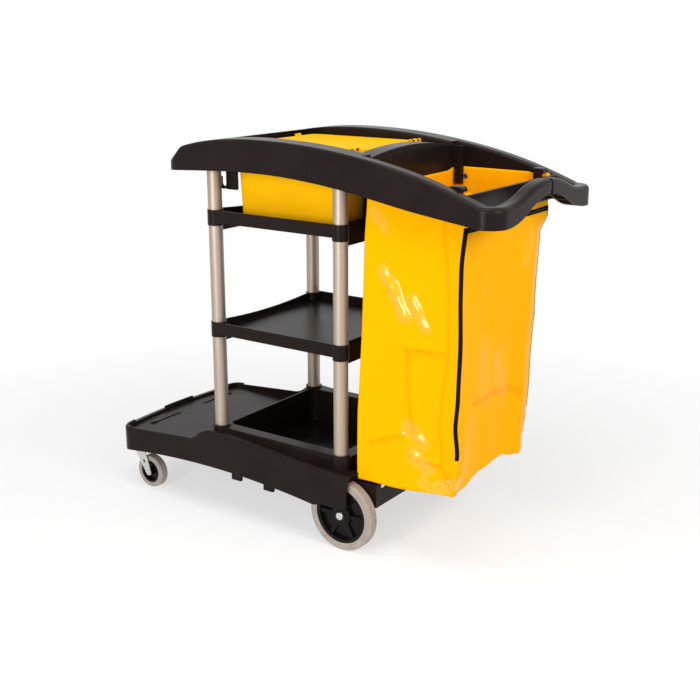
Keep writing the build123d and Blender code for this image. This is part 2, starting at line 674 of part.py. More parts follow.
def make_caster_hub():
    """Caster wheel centre with a rim, a web and a boss."""
    radius = CASTER_R - CASTER_TYRE_DEPTH
    y0 = CASTER_Y - CASTER_WIDTH / 2 + CASTER_RIM_INSET
    width = CASTER_WIDTH - 2 * CASTER_RIM_INSET
    boss_y0 = CASTER_Y - CASTER_BOSS_WIDTH / 2
    hub = ring(AXLE_X, y0, CASTER_R, radius, radius - CASTER_RIM_DEPTH, width, "y")
    hub += rod(AXLE_X, CASTER_Y - HUB_WEB / 2, CASTER_R, radius - CASTER_RIM_DEPTH / 2, HUB_WEB, "y")
    hub += rod(AXLE_X, boss_y0, CASTER_R, CASTER_BOSS_R, CASTER_BOSS_WIDTH, "y")
    return hub - rod(AXLE_X, boss_y0, CASTER_R, CASTER_PIN_R + BUSH_WALL + FIT, CASTER_BOSS_WIDTH, "y")


def make_caster_axle():
    """Bolt through the fork with its head and its nut."""
    outer_y = CASTER_BOSS_WIDTH / 2 + FORK_GAP + FORK_T
    bolt = rod(AXLE_X, CASTER_Y - outer_y, CASTER_R, CASTER_PIN_R, 2 * outer_y, "y")
    head = Pos(AXLE_X, CASTER_R) * RegularPolygon(CASTER_HEAD_R, 6)
    bolt += side_prism(head, CASTER_Y - outer_y - CASTER_PIN_R, CASTER_Y - outer_y)
    return bolt + side_prism(head, CASTER_Y + outer_y, CASTER_Y + outer_y + CASTER_PIN_R)


def make_caster_bolt(x, y):
    """Screw with a round head under the caster plate."""
    head_h = CASTER_BOLT_R
    shank_z = CASTER_PLATE_Z
    shank = rod(x, y, shank_z, CASTER_BOLT_R, CASTER_PLATE[2] + CASTER_BOLT_GRIP - FIT, "z")
    return shank + rod(x, y, shank_z - head_h, CASTER_HEAD_R, head_h, "z")


AXLE_X = CASTER_X + CASTER_TRAIL
RACE_Z = CASTER_PLATE_Z - RACE_H
KING_HEAD_Z = RACE_Z - 2 * PLAY - FORK_CROWN_T - FORK_CROWN_T

plate_plan = RectangleRounded(CASTER_PLATE[0], CASTER_PLATE[1], CASTER_PLATE_R)
caster_plate = Pos(CASTER_X, CASTER_Y, CASTER_PLATE_Z) * extrude(plate_plan, amount=CASTER_PLATE[2])
caster_plate -= rod(CASTER_X, CASTER_Y, CASTER_PLATE_Z, KINGPIN_R + FIT, CASTER_PLATE[2], "z")
for bolt_x, bolt_y in caster_bolt_places():
    caster_plate -= rod(bolt_x, bolt_y, CASTER_PLATE_Z, CASTER_BOLT_R + FIT, CASTER_PLATE[2], "z")
kingpin = rod(CASTER_X, CASTER_Y, KING_HEAD_Z, KINGPIN_R, CASTER_TOP_Z - KING_HEAD_Z, "z")
kingpin += rod(CASTER_X, CASTER_Y, KING_HEAD_Z, KINGPIN_R + FORK_CROWN_T, FORK_CROWN_T, "z")
bush_y0 = CASTER_Y - CASTER_BOSS_WIDTH / 2

save_pair("caster_plate", caster_plate)
save_pair("caster_race", ring(CASTER_X, CASTER_Y, RACE_Z, RACE_R, KINGPIN_R + FIT, RACE_H, "z"))
save_pair("caster_kingpin", kingpin)
save_pair("caster_fork", make_fork())
save_pair("caster_axle", make_caster_axle())
save_pair("caster_hub", make_caster_hub())
save_pair("caster_tyre", make_tyre(
    AXLE_X, CASTER_Y - CASTER_WIDTH / 2, CASTER_R, CASTER_R, CASTER_R - CASTER_TYRE_DEPTH, CASTER_WIDTH,
    CASTER_SHOULDER_R))
save_pair("caster_bush", ring(
    AXLE_X, bush_y0, CASTER_R, CASTER_PIN_R + BUSH_WALL, CASTER_PIN_R + FIT, CASTER_BOSS_WIDTH, "y"))
save("caster_bolts", *[make_caster_bolt(x, y) for x, y in caster_bolt_places()])


# Posts and shelves

def make_shelf(rim_z):
    """Tray with deep aprons in front and behind and a collar round each post."""
    x0 = POST_X0 - SHELF_OVERHANG
    x1 = POST_X1 + SHELF_OVERHANG
    half = SHELF_HALF_WIDTH
    floor_z = rim_z - SHELF_DEPTH
    shelf = block(x0, x1, -half, half, rim_z - SHELF_SIDE_H, rim_z)
    for x in (x0, x1 - WALL):
        shelf += block(x, x + WALL, -POST_Y, POST_Y, rim_z - SHELF_APRON_H, rim_z)
    shelf -= block(x0 + WALL, x1 - WALL, WALL - half, half - WALL, floor_z, rim_z)
    shelf -= block(x0 + WALL, x1 - WALL, WALL - half, half - WALL, rim_z - SHELF_SIDE_H, floor_z - WALL)
    scoop_y = POST_Y - SHELF_SCOOP_INSET
    scoop_arc = ThreePointArc((-scoop_y, rim_z), (0.0, rim_z - SHELF_SCOOP), (scoop_y, rim_z))
    scoop = make_face([scoop_arc, Line((scoop_y, rim_z), (-scoop_y, rim_z))])
    shelf -= cross_prism(scoop, x0, x0 + WALL)
    for y in (-SHELF_RIB_Y, SHELF_RIB_Y):
        shelf += block(x0, x1, y - WALL / 2, y + WALL / 2, floor_z - WALL - SHELF_RIB_H, floor_z - WALL)
    for x in (POST_X0, POST_X1):
        for y in (-POST_Y, POST_Y):
            shelf += rod(x, y, rim_z - COLLAR_H, POST_R + COLLAR_WALL, COLLAR_H, "z")
            shelf -= rod(x, y, rim_z - SHELF_APRON_H, POST_R + FIT, SHELF_APRON_H, "z")
    return shelf


for post_name, post_x in {"front_post": POST_X0, "rear_post": POST_X1}.items():
    save_pair(post_name, ring(
        post_x, POST_Y, POST_FOOT_Z, POST_R, POST_R - POST_TUBE_WALL, POST_TOP_Z - POST_FOOT_Z, "z"))
save("upper_shelf", make_shelf(UPPER_SHELF_Z))
save("mid_shelf", make_shelf(MID_SHELF_Z))


# Hood

def end_tangent(start, end):
    """Direction from one point to the next, a little steeper than the straight line."""
    return (end[0] - start[0], (end[1] - start[1]) * RAIL_END_STEEPENING)


def hood_face(drop, nose_in):
    """Side view of the hood and rails; the lowered one is the hollow, which runs out below."""
    nose_x = NOSE_X + nose_in
    brow = (NOSE_X + BROW_SETBACK + nose_in, HOOD_FRONT_Z - drop)
    top = [
        brow,
        (POST_X0 + POST_PITCH_X / 2, HOOD_PEAK_Z - drop),
        (MID_BEAM_X1, HOOD_MID_Z - drop),
        (HOOD_REAR_X, HOOD_REAR_Z - drop),
        (CORNER_X, HANDLE_LOW_TOP - drop),
    ]
    edges = [Line((nose_x, NOSE_Z + NOSE_H - drop), brow)]
    edges += [Spline(*top, tangents=[(1.0, BROW_SLOPE), end_tangent(top[-2], top[-1])])]
    if drop:
        edges += chain([top[-1], (CORNER_X, 0.0), (nose_x, 0.0), (nose_x, NOSE_Z + NOSE_H - drop)])
        return make_face(edges)
    bottom = [
        (CORNER_X, HANDLE_LOW_Z),
        ((MID_BEAM_X1 + CORNER_X) / 2, RAIL_BAG_Z),
        (MID_BEAM_X1 - RAIL_WIDE / 2, RAIL_BEAM_Z),
        (POST_X0 + POST_PITCH_X / 2, RAIL_BELLY_Z),
        (NOSE_X, NOSE_Z),
    ]
    edges += [Line(top[-1], bottom[0])]
    edges += [Spline(*bottom, tangents=[end_tangent(bottom[0], bottom[1]), (-1.0, BELLY_SLOPE)])]
    edges += [Line((NOSE_X, NOSE_Z), (NOSE_X, NOSE_Z + NOSE_H))]
    face = make_face(edges)
    corner = [v for v in face.vertices() if abs(v.X - brow[0]) < FIT and abs(v.Y - brow[1]) < FIT]
    return fillet(corner, BROW_R)


def rail_bar(y0, y1):
    """Rail with its full side view, round along its top edges."""
    bar = side_prism(hood_face(0.0, 0.0), y0, y1)
    top_edges = []
    for edge in bar.edges():
        middle = edge.center()
        on_side = abs(middle.Y - y0) < FIT or abs(middle.Y - y1) < FIT
        at_foot = any(abs(v.X - NOSE_X) < FIT and abs(v.Z - NOSE_Z) < FIT for v in edge.vertices())
        if on_side and not at_foot and abs(middle.X - CORNER_X) > FIT:
            top_edges.append(edge)
    return fillet(top_edges, RAIL_EDGE_R)


def rail_hollow(y0, y1):
    """Space under a rail."""
    return side_prism(hood_face(HOLLOW_DROP, 2 * WALL), y0, y1)


def stretch(x0, x1):
    """All of the cart between two X planes."""
    return block(x0, x1, -SIDE_Y, SIDE_Y, 0.0, HOOD_PEAK_Z)


def socket_boss(x, y):
    """Boss under a rail that takes the top of a post."""
    z0 = POST_TOP_Z - SOCKET_GRIP
    return rod(x, y, z0, POST_R + BOSS_WALL, SOCKET_GRIP + WALL, "z")


def make_hood_front():
    arm_x1 = SEAM_X0 - SEAM_GAP / 2
    plan = plan_rectangle(NOSE_X, arm_x1, SIDE_Y)
    plan = fillet(plan.vertices().sort_by(Axis.X)[:2], NOSE_CORNER_R)
    hood = rail_bar(-SIDE_Y, SIDE_Y) & extrude(plan, amount=HOOD_PEAK_Z)
    inner = rail_hollow(WALL - SIDE_Y, SIDE_Y - WALL)
    inner_plan = offset(plan, amount=-WALL)
    shelf_wall = block(BAY_X0 - WALL, arm_x1, -RAIL_WIDE_Y - WALL, RAIL_WIDE_Y + WALL, 0.0, HOOD_PEAK_Z)
    near_end = block(arm_x1 - WALL, arm_x1, RAIL_WIDE_Y + WALL, SIDE_Y - WALL, 0.0, HOOD_PEAK_Z)
    inner_zone = extrude(inner_plan, amount=HOOD_PEAK_Z) + near_end + across(near_end)
    hood -= (inner & inner_zone) - shelf_wall
    hood -= block(BAY_X0, arm_x1, -RAIL_WIDE_Y, RAIL_WIDE_Y, 0.0, HOOD_PEAK_Z)
    for y in (-POST_Y, POST_Y):
        hood += socket_boss(POST_X0, y)
        hood -= rod(POST_X0, y, NOSE_Z, POST_R + FIT, POST_TOP_Z - NOSE_Z, "z")
    for side in (-1, 1):
        y0, y1 = sorted((side * TOOL_Y0, side * (TOOL_Y0 + TOOL_BLOCK[1])))
        hood += block(TOOL_X0, TOOL_X0 + TOOL_BLOCK[0], y0, y1, TOOL_SEAT_Z, RAIL_BELLY_Z + WALL)
    return hood


def make_side_panel():
    """Right panel between the two seams, with a tongue into each neighbour."""
    zone = stretch(SEAM_X0 + SEAM_GAP / 2, SEAM_X1 - SEAM_GAP / 2)
    panel = rail_bar(RAIL_WIDE_Y, SIDE_Y) & zone
    panel -= rail_hollow(RAIL_WIDE_Y + WALL, SIDE_Y - WALL) & zone
    for x in (SEAM_X0, SEAM_X1):
        panel += block(
            x - TONGUE[0], x + TONGUE[0], RAIL_WIDE_Y + WALL, SIDE_Y - WALL, TONGUE_Z, TONGUE_Z + TONGUE[1])
    return panel


def corner_sweep(y0, y1, z0, z1, edge_r):
    """Quarter turn of the rail round the corner of the handle, on the right."""
    section = Pos((y0 + y1) / 2, (z0 + z1) / 2) * Rectangle(y1 - y0, z1 - z0)
    section = fillet(section.vertices().sort_by(Axis.Y)[-2:], edge_r)
    section = Pos(CORNER_X, 0, 0) * (Plane.YZ * section)
    return revolve(section, Axis((CORNER_X, CORNER_Y, 0.0), (0, 0, -1)), 90)


def handle_half(x0, x1, drop, open_below):
    """Right half of the arched handle, or the hollow in it."""
    y1 = CORNER_Y
    y0 = 0.0
    crest = HANDLE_LOW_Z + HANDLE_RISE
    edges = s_curve((y1, HANDLE_LOW_TOP - drop), (y0, crest + HANDLE_GRIP_H - drop))
    if open_below:
        edges += chain([(y0, crest + HANDLE_GRIP_H - drop), (y0, 0.0), (y1, 0.0), (y1, HANDLE_LOW_TOP - drop)])
    else:
        edges += s_curve((y0, crest), (y1, HANDLE_LOW_Z))
        edges += [Line((y0, crest + HANDLE_GRIP_H), (y0, crest))]
        edges += [Line((y1, HANDLE_LOW_Z), (y1, HANDLE_LOW_TOP))]
    half = cross_prism(make_face(edges), x0, x1)
    top_edges = []
    for edge in half.edges():
        middle = edge.center()
        rise = (CORNER_Y - middle.Y) / CORNER_Y * HANDLE_RISE
        on_side = abs(middle.X - x0) < FIT or abs(middle.X - x1) < FIT
        inside = FIT < middle.Y < CORNER_Y - FIT
        if on_side and inside and middle.Z > HANDLE_LOW_Z + rise + HANDLE_GRIP_H / 2:
            top_edges.append(edge)
    return fillet(top_edges, HANDLE_EDGE_R - drop)


def make_rear_rail():
    """Right rear rail: wide to the middle crosspiece, narrow beside the bag, then half of the handle."""
    wide = stretch(SEAM_X1 + SEAM_GAP / 2, MID_BEAM_X1)
    narrow = stretch(MID_BEAM_X1, CORNER_X)
    rail = rail_bar(RAIL_WIDE_Y, SIDE_Y) & wide
    rail += rail_bar(RAIL_NARROW_Y, SIDE_Y) & narrow
    rail += corner_sweep(RAIL_NARROW_Y, SIDE_Y, HANDLE_LOW_Z, HANDLE_LOW_TOP, HANDLE_EDGE_R)
    rail += handle_half(HANDLE_X0, REAR_X, 0.0, False)

    hollow_top = HANDLE_LOW_TOP - WALL
    hollow = rail_hollow(RAIL_WIDE_Y + WALL, SIDE_Y - WALL) & stretch(SEAM_X1, MID_BEAM_X1 - WALL)
    hollow += rail_hollow(RAIL_NARROW_Y + WALL, SIDE_Y - WALL) & stretch(MID_BEAM_X1 - WALL, CORNER_X)
    hollow += corner_sweep(
        RAIL_NARROW_Y + WALL, SIDE_Y - WALL, HANDLE_LOW_Z, hollow_top, HANDLE_EDGE_R - WALL)
    grip_hollow = handle_half(HANDLE_X0 + WALL, REAR_X - WALL, WALL, True)
    for step in range(1, HANDLE_RIBS + 1):
        y = CORNER_Y * step / (HANDLE_RIBS + 1)
        grip_hollow -= block(HANDLE_X0, REAR_X, y, y + HANDLE_RIB_T, 0.0, HOOD_PEAK_Z)
    rail -= hollow
    rail -= grip_hollow
    rail -= block(HANDLE_X0 - PLAY, REAR_X + PLAY, -CLIP_LENGTH, CLIP_LENGTH / 2, 0.0, HOOD_PEAK_Z)
    rail += socket_boss(POST_X1, POST_Y)
    return rail - rod(POST_X1, POST_Y, NOSE_Z, POST_R + FIT, POST_TOP_Z - NOSE_Z, "z")


def make_mid_crosspiece():
    """Arched beam between the rails in front of the bag."""
    def arch(half, drop, z0):
        ends = POST_TOP_Z - drop
        top = ThreePointArc((-half, ends), (0.0, ends + MID_BEAM_RISE), (half, ends))
        return make_face([top] + chain([(half, ends), (half, z0), (-half, z0), (-half, ends)]))

    z0 = POST_TOP_Z - MID_BEAM_DROP
    beam = cross_prism(arch(RAIL_WIDE_Y, 0.0, z0), MID_BEAM_X0, MID_BEAM_X1)
    return beam - cross_prism(arch(RAIL_WIDE_Y - WALL, WALL, z0), MID_BEAM_X0 + WALL, MID_BEAM_X1 - WALL)


def make_handle_clip():
    """Joint piece between the two halves of the handle, a little slimmer than they are."""
    z0 = HANDLE_LOW_Z + HANDLE_RISE
    z1 = z0 + HANDLE_GRIP_H
    half = CLIP_LENGTH / 2
    clip = block(HANDLE_X0 + CLIP_INSET, REAR_X - CLIP_INSET, -half, half, z0, z1 - CLIP_INSET)
    return fillet(clip.edges().filter_by(Axis.Y), HANDLE_EDGE_R)


TOOL_X0 = SEAM_X0 - SEAM_GAP - TOOL_BLOCK[0]
TOOL_Y0 = POST_Y - POST_R - WALL / 4 - TOOL_BLOCK[1]

save("hood_front", make_hood_front())
save_pair("side_panel", make_side_panel())
save_pair("rear_rail", make_rear_rail())
save("mid_crosspiece", make_mid_crosspiece())
save("rear_crosspiece", block(
    REAR_BEAM_X0, REAR_BEAM_X1, -RAIL_NARROW_Y, RAIL_NARROW_Y, REAR_BEAM_Z, REAR_BEAM_Z + REAR_BEAM_H))
save("handle_clip", make_handle_clip())
divider_z0 = UPPER_SHELF_Z - DIVIDER_FOOT
divider_z1 = POST_TOP_Z - DIVIDER_DROP
divider = block(DIVIDER_X0, DIVIDER_X0 + WALL, -DIVIDER_HALF_WIDTH, DIVIDER_HALF_WIDTH, divider_z0, divider_z1)
divider += block(
    DIVIDER_X0, MID_BEAM_X0, -DIVIDER_HALF_WIDTH, DIVIDER_HALF_WIDTH, divider_z1 - WALL, divider_z1)
save("divider_panel", divider)


# Hooks

def make_tool_hook():
    """Right tool hook: a block under the hood and a hook that opens upwards."""
    y0 = TOOL_Y0
    y1 = y0 + TOOL_BLOCK[1]
    x0 = TOOL_X0
    z0 = TOOL_SEAT_Z - TOOL_BLOCK[2]
    outer = TOOL_HOOK_R + TOOL_HOOK_T / 2
    inner = TOOL_HOOK_R - TOOL_HOOK_T / 2
    centre_x = x0 - inner
    centre_z = z0 + outer
    hook = ring(centre_x, y0, centre_z, outer, inner, y1 - y0, "y")
    hook &= block(centre_x - outer, centre_x + outer, y0, y1, z0, centre_z)
    hook += block(centre_x - outer, centre_x - inner, y0, y1, centre_z, centre_z + TOOL_HOOK_TIP)
    return hook + block(x0, x0 + TOOL_BLOCK[0], y0, y1, z0, TOOL_SEAT_Z)


def make_bag_hook(strap_x, block_x0, block_x1, top_z, round_r):
    """Right bag hook: a block over the edge of the bag, a leg on the rail and a strap inside the bag."""
    strap_y1 = BAG_HALF_WIDTH - BAG_WALL
    strap_y0 = strap_y1 - STRAP[1]
    seat_z = BAG_TOP_Z + STRAP_LIFT
    hook = block(block_x0, block_x1, strap_y0, RAIL_NARROW_Y, seat_z, top_z)
    if round_r:
        hook = fillet(hook.edges().filter_by(Axis.Y).group_by(Axis.Z)[-1], round_r)
    hook += block(block_x0, block_x1, BAG_HALF_WIDTH + BAG_CLEAR, RAIL_NARROW_Y, seat_z - HOOK_LEG, seat_z)
    return hook + block(
        strap_x - STRAP[0] / 2, strap_x + STRAP[0] / 2, strap_y0, strap_y1, BAG_TOP_Z - STRAP_DROP, seat_z)


tool_hook = make_tool_hook()
save("tool_hooks", tool_hook, across(tool_hook))
front_strap_x = BAG_X0 + BAG_CORNER_R + STRAP[0] / 2
front_hook = make_bag_hook(
    front_strap_x, MID_BEAM_X1, front_strap_x + STRAP[0] / 2, HOOD_MID_Z - STRAP_TOP_GAP, 0.0)
save("front_bag_hooks", front_hook, across(front_hook))
knob_x = BAG_X1 - KNOB_SETBACK
knob_top_z = BAG_TOP_Z + STRAP_LIFT + KNOB_H
rear_hook = make_bag_hook(knob_x, knob_x - KNOB_LENGTH / 2, knob_x + KNOB_LENGTH / 2, knob_top_z, KNOB_R)
save("rear_bag_hooks", rear_hook, across(rear_hook))


# Bin and lid

def tub(inset, z0):
    """Tapered box with round corners, from a floor to the top of the bin."""
    foot = BIN_DRAFT + inset
    middle_x = (BIN_X0 + BIN_X1) / 2
    lower = RectangleRounded(BIN_LENGTH - 2 * foot, 2 * (BIN_HALF_WIDTH - foot), BIN_CORNER_R - inset)
    upper = RectangleRounded(BIN_LENGTH - 2 * inset, 2 * (BIN_HALF_WIDTH - inset), BIN_CORNER_R - inset)
    return loft([Pos(middle_x, 0, z0) * lower, Pos(middle_x, 0, BIN_TOP_Z) * upper], ruled=True)


def ear_places():
    """Where each of the four hinge ears starts: a pair round each end of the hinge."""
    reach = (HINGE_SPAN - HINGE_EAR) / 2
    return [side * HINGE_Y + end * reach - HINGE_EAR / 2 for side in (-1, 1) for end in (-1, 1)]


def make_bin():
    half = BIN_HALF_WIDTH + BIN_RIM
    rim_z0 = BIN_TOP_Z - BIN_WALL
    lip_x0 = BIN_X0 - BIN_LIP
    rim_face = plan_rectangle(lip_x0, BIN_X1 + BIN_RIM, half)
    rim_face = fillet(rim_face.vertices(), BIN_CORNER_R)
    pail = tub(0.0, BIN_BOTTOM_Z) + Pos(0, 0, rim_z0) * extrude(rim_face, amount=BIN_WALL)
    pail -= tub(BIN_WALL, BIN_BOTTOM_Z + BIN_WALL)
    for y0 in ear_places():
        pail += rod(HINGE_X, y0, HINGE_Z, HINGE_R, HINGE_EAR, "y")
        pail += block(HINGE_X - HINGE_R, HINGE_X + HINGE_R, y0, y0 + HINGE_EAR, rim_z0, HINGE_Z)
        pail -= rod(HINGE_X, y0, HINGE_Z, HINGE_PIN_R + FIT, HINGE_EAR, "y")
    return pail


def make_lid():
    half = BIN_HALF_WIDTH + BIN_RIM - LID_SIDE_GAP / 2
    x0 = BIN_X0 - BIN_LIP
    x1 = HINGE_X
    plan = plan_rectangle(x0, x1, half)
    plan = fillet(plan.vertices(), BIN_CORNER_R)
    lid = Pos(0, 0, LID_Z0) * extrude(plan, amount=LID_T)
    notch_x0 = HINGE_X - HINGE_R - LID_NOTCH
    for y0 in ear_places():
        lid -= block(notch_x0, x1, y0 - LID_NOTCH, y0 + HINGE_EAR + LID_NOTCH, LID_Z0, LID_Z1)
    for side in (-1, 1):
        y0 = side * HINGE_Y - HINGE_WIDTH / 2
        lid += rod(HINGE_X, y0, HINGE_Z, HINGE_R, HINGE_WIDTH, "y")
        lid += block(HINGE_X - HINGE_R, HINGE_X, y0, y0 + HINGE_WIDTH, LID_Z0, HINGE_Z)
        lid -= rod(HINGE_X, y0, HINGE_Z, HINGE_PIN_R + FIT, HINGE_WIDTH, "y")
        tab_y = side * LID_TAB_Y
        half_tab = LID_TAB[0] / 2
        lid += block(x0, x0 + LID_TAB[1], tab_y - half_tab, tab_y + half_tab, LID_Z0, LID_Z0 + LID_TAB[2])
    return lid


hinge_pin = rod(HINGE_X, HINGE_Y - HINGE_SPAN / 2, HINGE_Z, HINGE_PIN_R, HINGE_SPAN, "y")
save("bin_tub", make_bin())
save("bin_lid", make_lid())
save("lid_hinge_pins", hinge_pin, across(hinge_pin))


# Bag

def bag_form(inset, z0):
    """Soft bag as a plain form: upright at the back and bulging forwards below."""
    belly_x = BAG_X0 - BAG_BULGE
    sections = []
    for z, front in ((z0, belly_x), (BAG_BELLY_Z, belly_x), (BAG_TOP_Z, BAG_X0)):
        length = BAG_X1 - front - 2 * inset
        face = RectangleRounded(length, 2 * (BAG_HALF_WIDTH - inset), BAG_CORNER_R - inset)
        sections.append(Pos((front + BAG_X1) / 2, 0, z) * face)
    return loft(sections, ruled=True)


save("waste_bag", bag_form(0.0, BAG_BOTTOM_Z) - bag_form(BAG_WALL, BAG_BOTTOM_Z + BAG_WALL))

tape_y = BAG_HALF_WIDTH - ZIP_EDGE
tape_x1 = BAG_X1 + ZIP_T
zip_tape = block(BAG_X1, tape_x1, -tape_y, tape_y, ZIP_TOP_Z - ZIP_WIDTH, ZIP_TOP_Z)
zip_tape += block(BAG_X1, tape_x1, tape_y - ZIP_WIDTH, tape_y, ZIP_END_Z, ZIP_TOP_Z)
zip_tape += block(BAG_X1, tape_x1, -tape_y, ZIP_WIDTH - tape_y, ZIP_END_Z, ZIP_TOP_Z)
save("zip_tape", zip_tape)

slider_x = tape_x1 + PLAY
slider_z = ZIP_TOP_Z - ZIP_WIDTH / 2
tab_z1 = slider_z - SLIDER[2] / 4
zip_slider = block(
    slider_x, slider_x + SLIDER[0], SLIDER_Y - SLIDER[1] / 2, SLIDER_Y + SLIDER[1] / 2,
    slider_z - SLIDER[2] / 2, slider_z + SLIDER[2] / 2)
zip_slider += block(
    slider_x + SLIDER[0], slider_x + SLIDER[0] + SLIDER_TAB[0], SLIDER_Y - SLIDER_TAB[1] / 2,
    SLIDER_Y + SLIDER_TAB[1] / 2, tab_z1 - SLIDER_TAB[2], tab_z1)
save_pair("zip_slider", zip_slider)
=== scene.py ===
# %% [markdown]
# A cleaning cart, dressed in Blender. The solids come from the CAD frame: a black moulded base, posts,
# shelves and a hood with a push handle. This script gives every solid its finish, makes the soft yellow
# bag and its zip, and lights the cart as a studio would.

import json
import math

import bmesh
import bpy
from mathutils import Matrix, Vector, noise

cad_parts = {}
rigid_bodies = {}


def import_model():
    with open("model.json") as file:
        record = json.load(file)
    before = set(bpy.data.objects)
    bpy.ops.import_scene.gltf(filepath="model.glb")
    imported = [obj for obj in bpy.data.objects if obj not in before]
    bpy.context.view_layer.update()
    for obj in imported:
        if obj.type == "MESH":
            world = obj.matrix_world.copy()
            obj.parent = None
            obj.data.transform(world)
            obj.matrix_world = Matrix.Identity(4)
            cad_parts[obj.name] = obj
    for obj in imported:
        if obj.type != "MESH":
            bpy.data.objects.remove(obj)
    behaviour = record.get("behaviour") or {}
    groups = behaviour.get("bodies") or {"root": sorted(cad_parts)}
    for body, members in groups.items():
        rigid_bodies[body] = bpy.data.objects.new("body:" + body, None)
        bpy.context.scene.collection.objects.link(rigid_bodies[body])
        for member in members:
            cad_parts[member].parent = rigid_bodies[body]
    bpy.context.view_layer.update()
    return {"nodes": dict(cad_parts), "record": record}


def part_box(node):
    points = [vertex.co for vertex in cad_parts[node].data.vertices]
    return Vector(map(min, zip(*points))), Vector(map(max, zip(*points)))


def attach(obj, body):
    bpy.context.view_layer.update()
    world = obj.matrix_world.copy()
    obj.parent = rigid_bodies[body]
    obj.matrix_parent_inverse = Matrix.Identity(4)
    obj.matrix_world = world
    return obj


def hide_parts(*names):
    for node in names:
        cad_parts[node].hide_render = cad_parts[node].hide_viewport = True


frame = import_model()
nodes = frame["nodes"]
print("CAD solids:", len(nodes))

# %% [markdown]
# Shader maths reads best as plain sums. The class below wraps one socket of a node and overloads the
# operators, so that 1 - mask or grain * 0.2 adds its own Math nodes. Adding each Math node by name works
# too, but it hides the sum.


# %% Sockets that take part in sums
class Amount:
    """A shader value that can be added, scaled and compared."""

    def __init__(self, tree, socket):
        self.tree = tree
        self.socket = socket

    def sum(self, operation, first, second=0.0):
        return self.tree.node("ShaderNodeMath", {"operation": operation}, {0: first, 1: second})

    def __add__(self, other):
        return self.sum("ADD", self, other)

    def __radd__(self, other):
        return self.sum("ADD", other, self)

    def __sub__(self, other):
        return self.sum("SUBTRACT", self, other)

    def __rsub__(self, other):
        return self.sum("SUBTRACT", other, self)

    def __mul__(self, other):
        return self.sum("MULTIPLY", self, other)

    def __rmul__(self, other):
        return self.sum("MULTIPLY", other, self)

    def __abs__(self):
        return self.sum("ABSOLUTE", self)

    def __lt__(self, other):
        return self.sum("LESS_THAN", self, other)

    def wave(self, length):
        """Rises and falls between -1 and 1 once in each length."""
        return self.sum("SINE", self * (2 * math.pi / length))


print("helper for sums:", Amount.__name__)

# %% [markdown]
# Every node of a finish is added by one method, which sets the node's options first and then its sockets.
# Nodes could also be laid out by hand in the editor, but then no script would show how a finish is made.


# %% Node trees
class Tree:
    """A node tree, and the one method that adds nodes to it."""

    def __init__(self, tree):
        self.tree = tree

    def feed(self, socket, value):
        if isinstance(value, Amount):
            self.tree.links.new(value.socket, socket)
        else:
            socket.default_value = value

    def node(self, kind, settings, sockets, output=0):
        made = self.tree.nodes.new(kind)
        for key, value in settings.items():
            if key == "stops":
                ramp = made.color_ramp.elements
                for stop, (place, colour) in zip(ramp, value):
                    stop.position = place
                    stop.color = (*colour, 1.0)
            else:
                setattr(made, key, value)
        for key, value in sockets.items():
            self.feed(made.inputs[key], value)
        return Amount(self, made.outputs[output])


print("helper for node trees:", Tree.__name__)

# %% [markdown]
# A finish is one material with one Principled shader. Its colour is a constant that noise makes a little
# darker or lighter, so that no surface looks painted by a computer. An image would need UV maps on every
# solid, and noise on Object coordinates needs none.


# %% Finishes
def shade(colour, factor):
    """The same colour, lighter or darker."""
    return tuple(min(1.0, part * factor) for part in colour)


class Finish(Tree):
    """A material with one Principled shader."""

    def __init__(self, name, colour, **constants):
        self.material = bpy.data.materials.new(name)
        self.material.use_nodes = True
        super().__init__(self.material.node_tree)
        self.shader = self.tree.nodes["Principled BSDF"]
        self.colour = colour
        self.material.diffuse_color = (*colour, 1.0)
        self.set("Base Color", (*colour, 1.0))
        for socket_name, value in constants.items():
            self.set(socket_name.replace("_", " "), value)

    def set(self, socket_name, value):
        self.feed(self.shader.inputs[socket_name], value)

    def stored(self, name):
        """A number that the mesh keeps at each of its points."""
        return self.node("ShaderNodeAttribute", {"attribute_name": name}, {}, "Fac")

    def place(self):
        return self.node("ShaderNodeTexCoord", {}, {}, "Object")

    def grain(self, scale, detail, stretch=(1.0, 1.0, 1.0)):
        """Soft random values, in lumps of about 1 / scale metres."""
        place = self.node("ShaderNodeMapping", {}, {"Vector": self.place(), "Scale": stretch})
        return self.node("ShaderNodeTexNoise", {}, {"Vector": place, "Scale": scale, "Detail": detail})

    def ramp(self, value, first, last):
        """Colour that goes from one stop of (place, colour) to another."""
        return self.node("ShaderNodeValToRGB", {"stops": (first, last)}, {"Fac": value})

    def mottle(self, value, dark, light, low=0.35, high=0.65):
        """Vary the colour between a darker and a lighter shade of it."""
        first = (low, shade(self.colour, dark))
        last = (high, shade(self.colour, light))
        self.set("Base Color", self.ramp(value, first, last))

    def bump(self, height, strength, distance, normal=None):
        sockets = {"Height": height, "Strength": strength, "Distance": distance}
        if normal is not None:
            sockets["Normal"] = normal
        return self.node("ShaderNodeBump", {}, sockets)

    def round_edges(self, radius):
        return self.node("ShaderNodeBevel", {"samples": 4}, {"Radius": radius})


print("helper for finishes:", Finish.__name__)

# %% [markdown]
# The black plastic is moulded: a warm near-black with a fine grain, slightly cloudy. A noise at the scale
# of the grain makes the bump, a coarse one the clouds in colour and gloss, and the Bevel node rounds the
# shading of the sharp edges, which saves bevels on every solid.

# %% Black moulded plastic
BLACK = (0.0098, 0.0057, 0.0049)

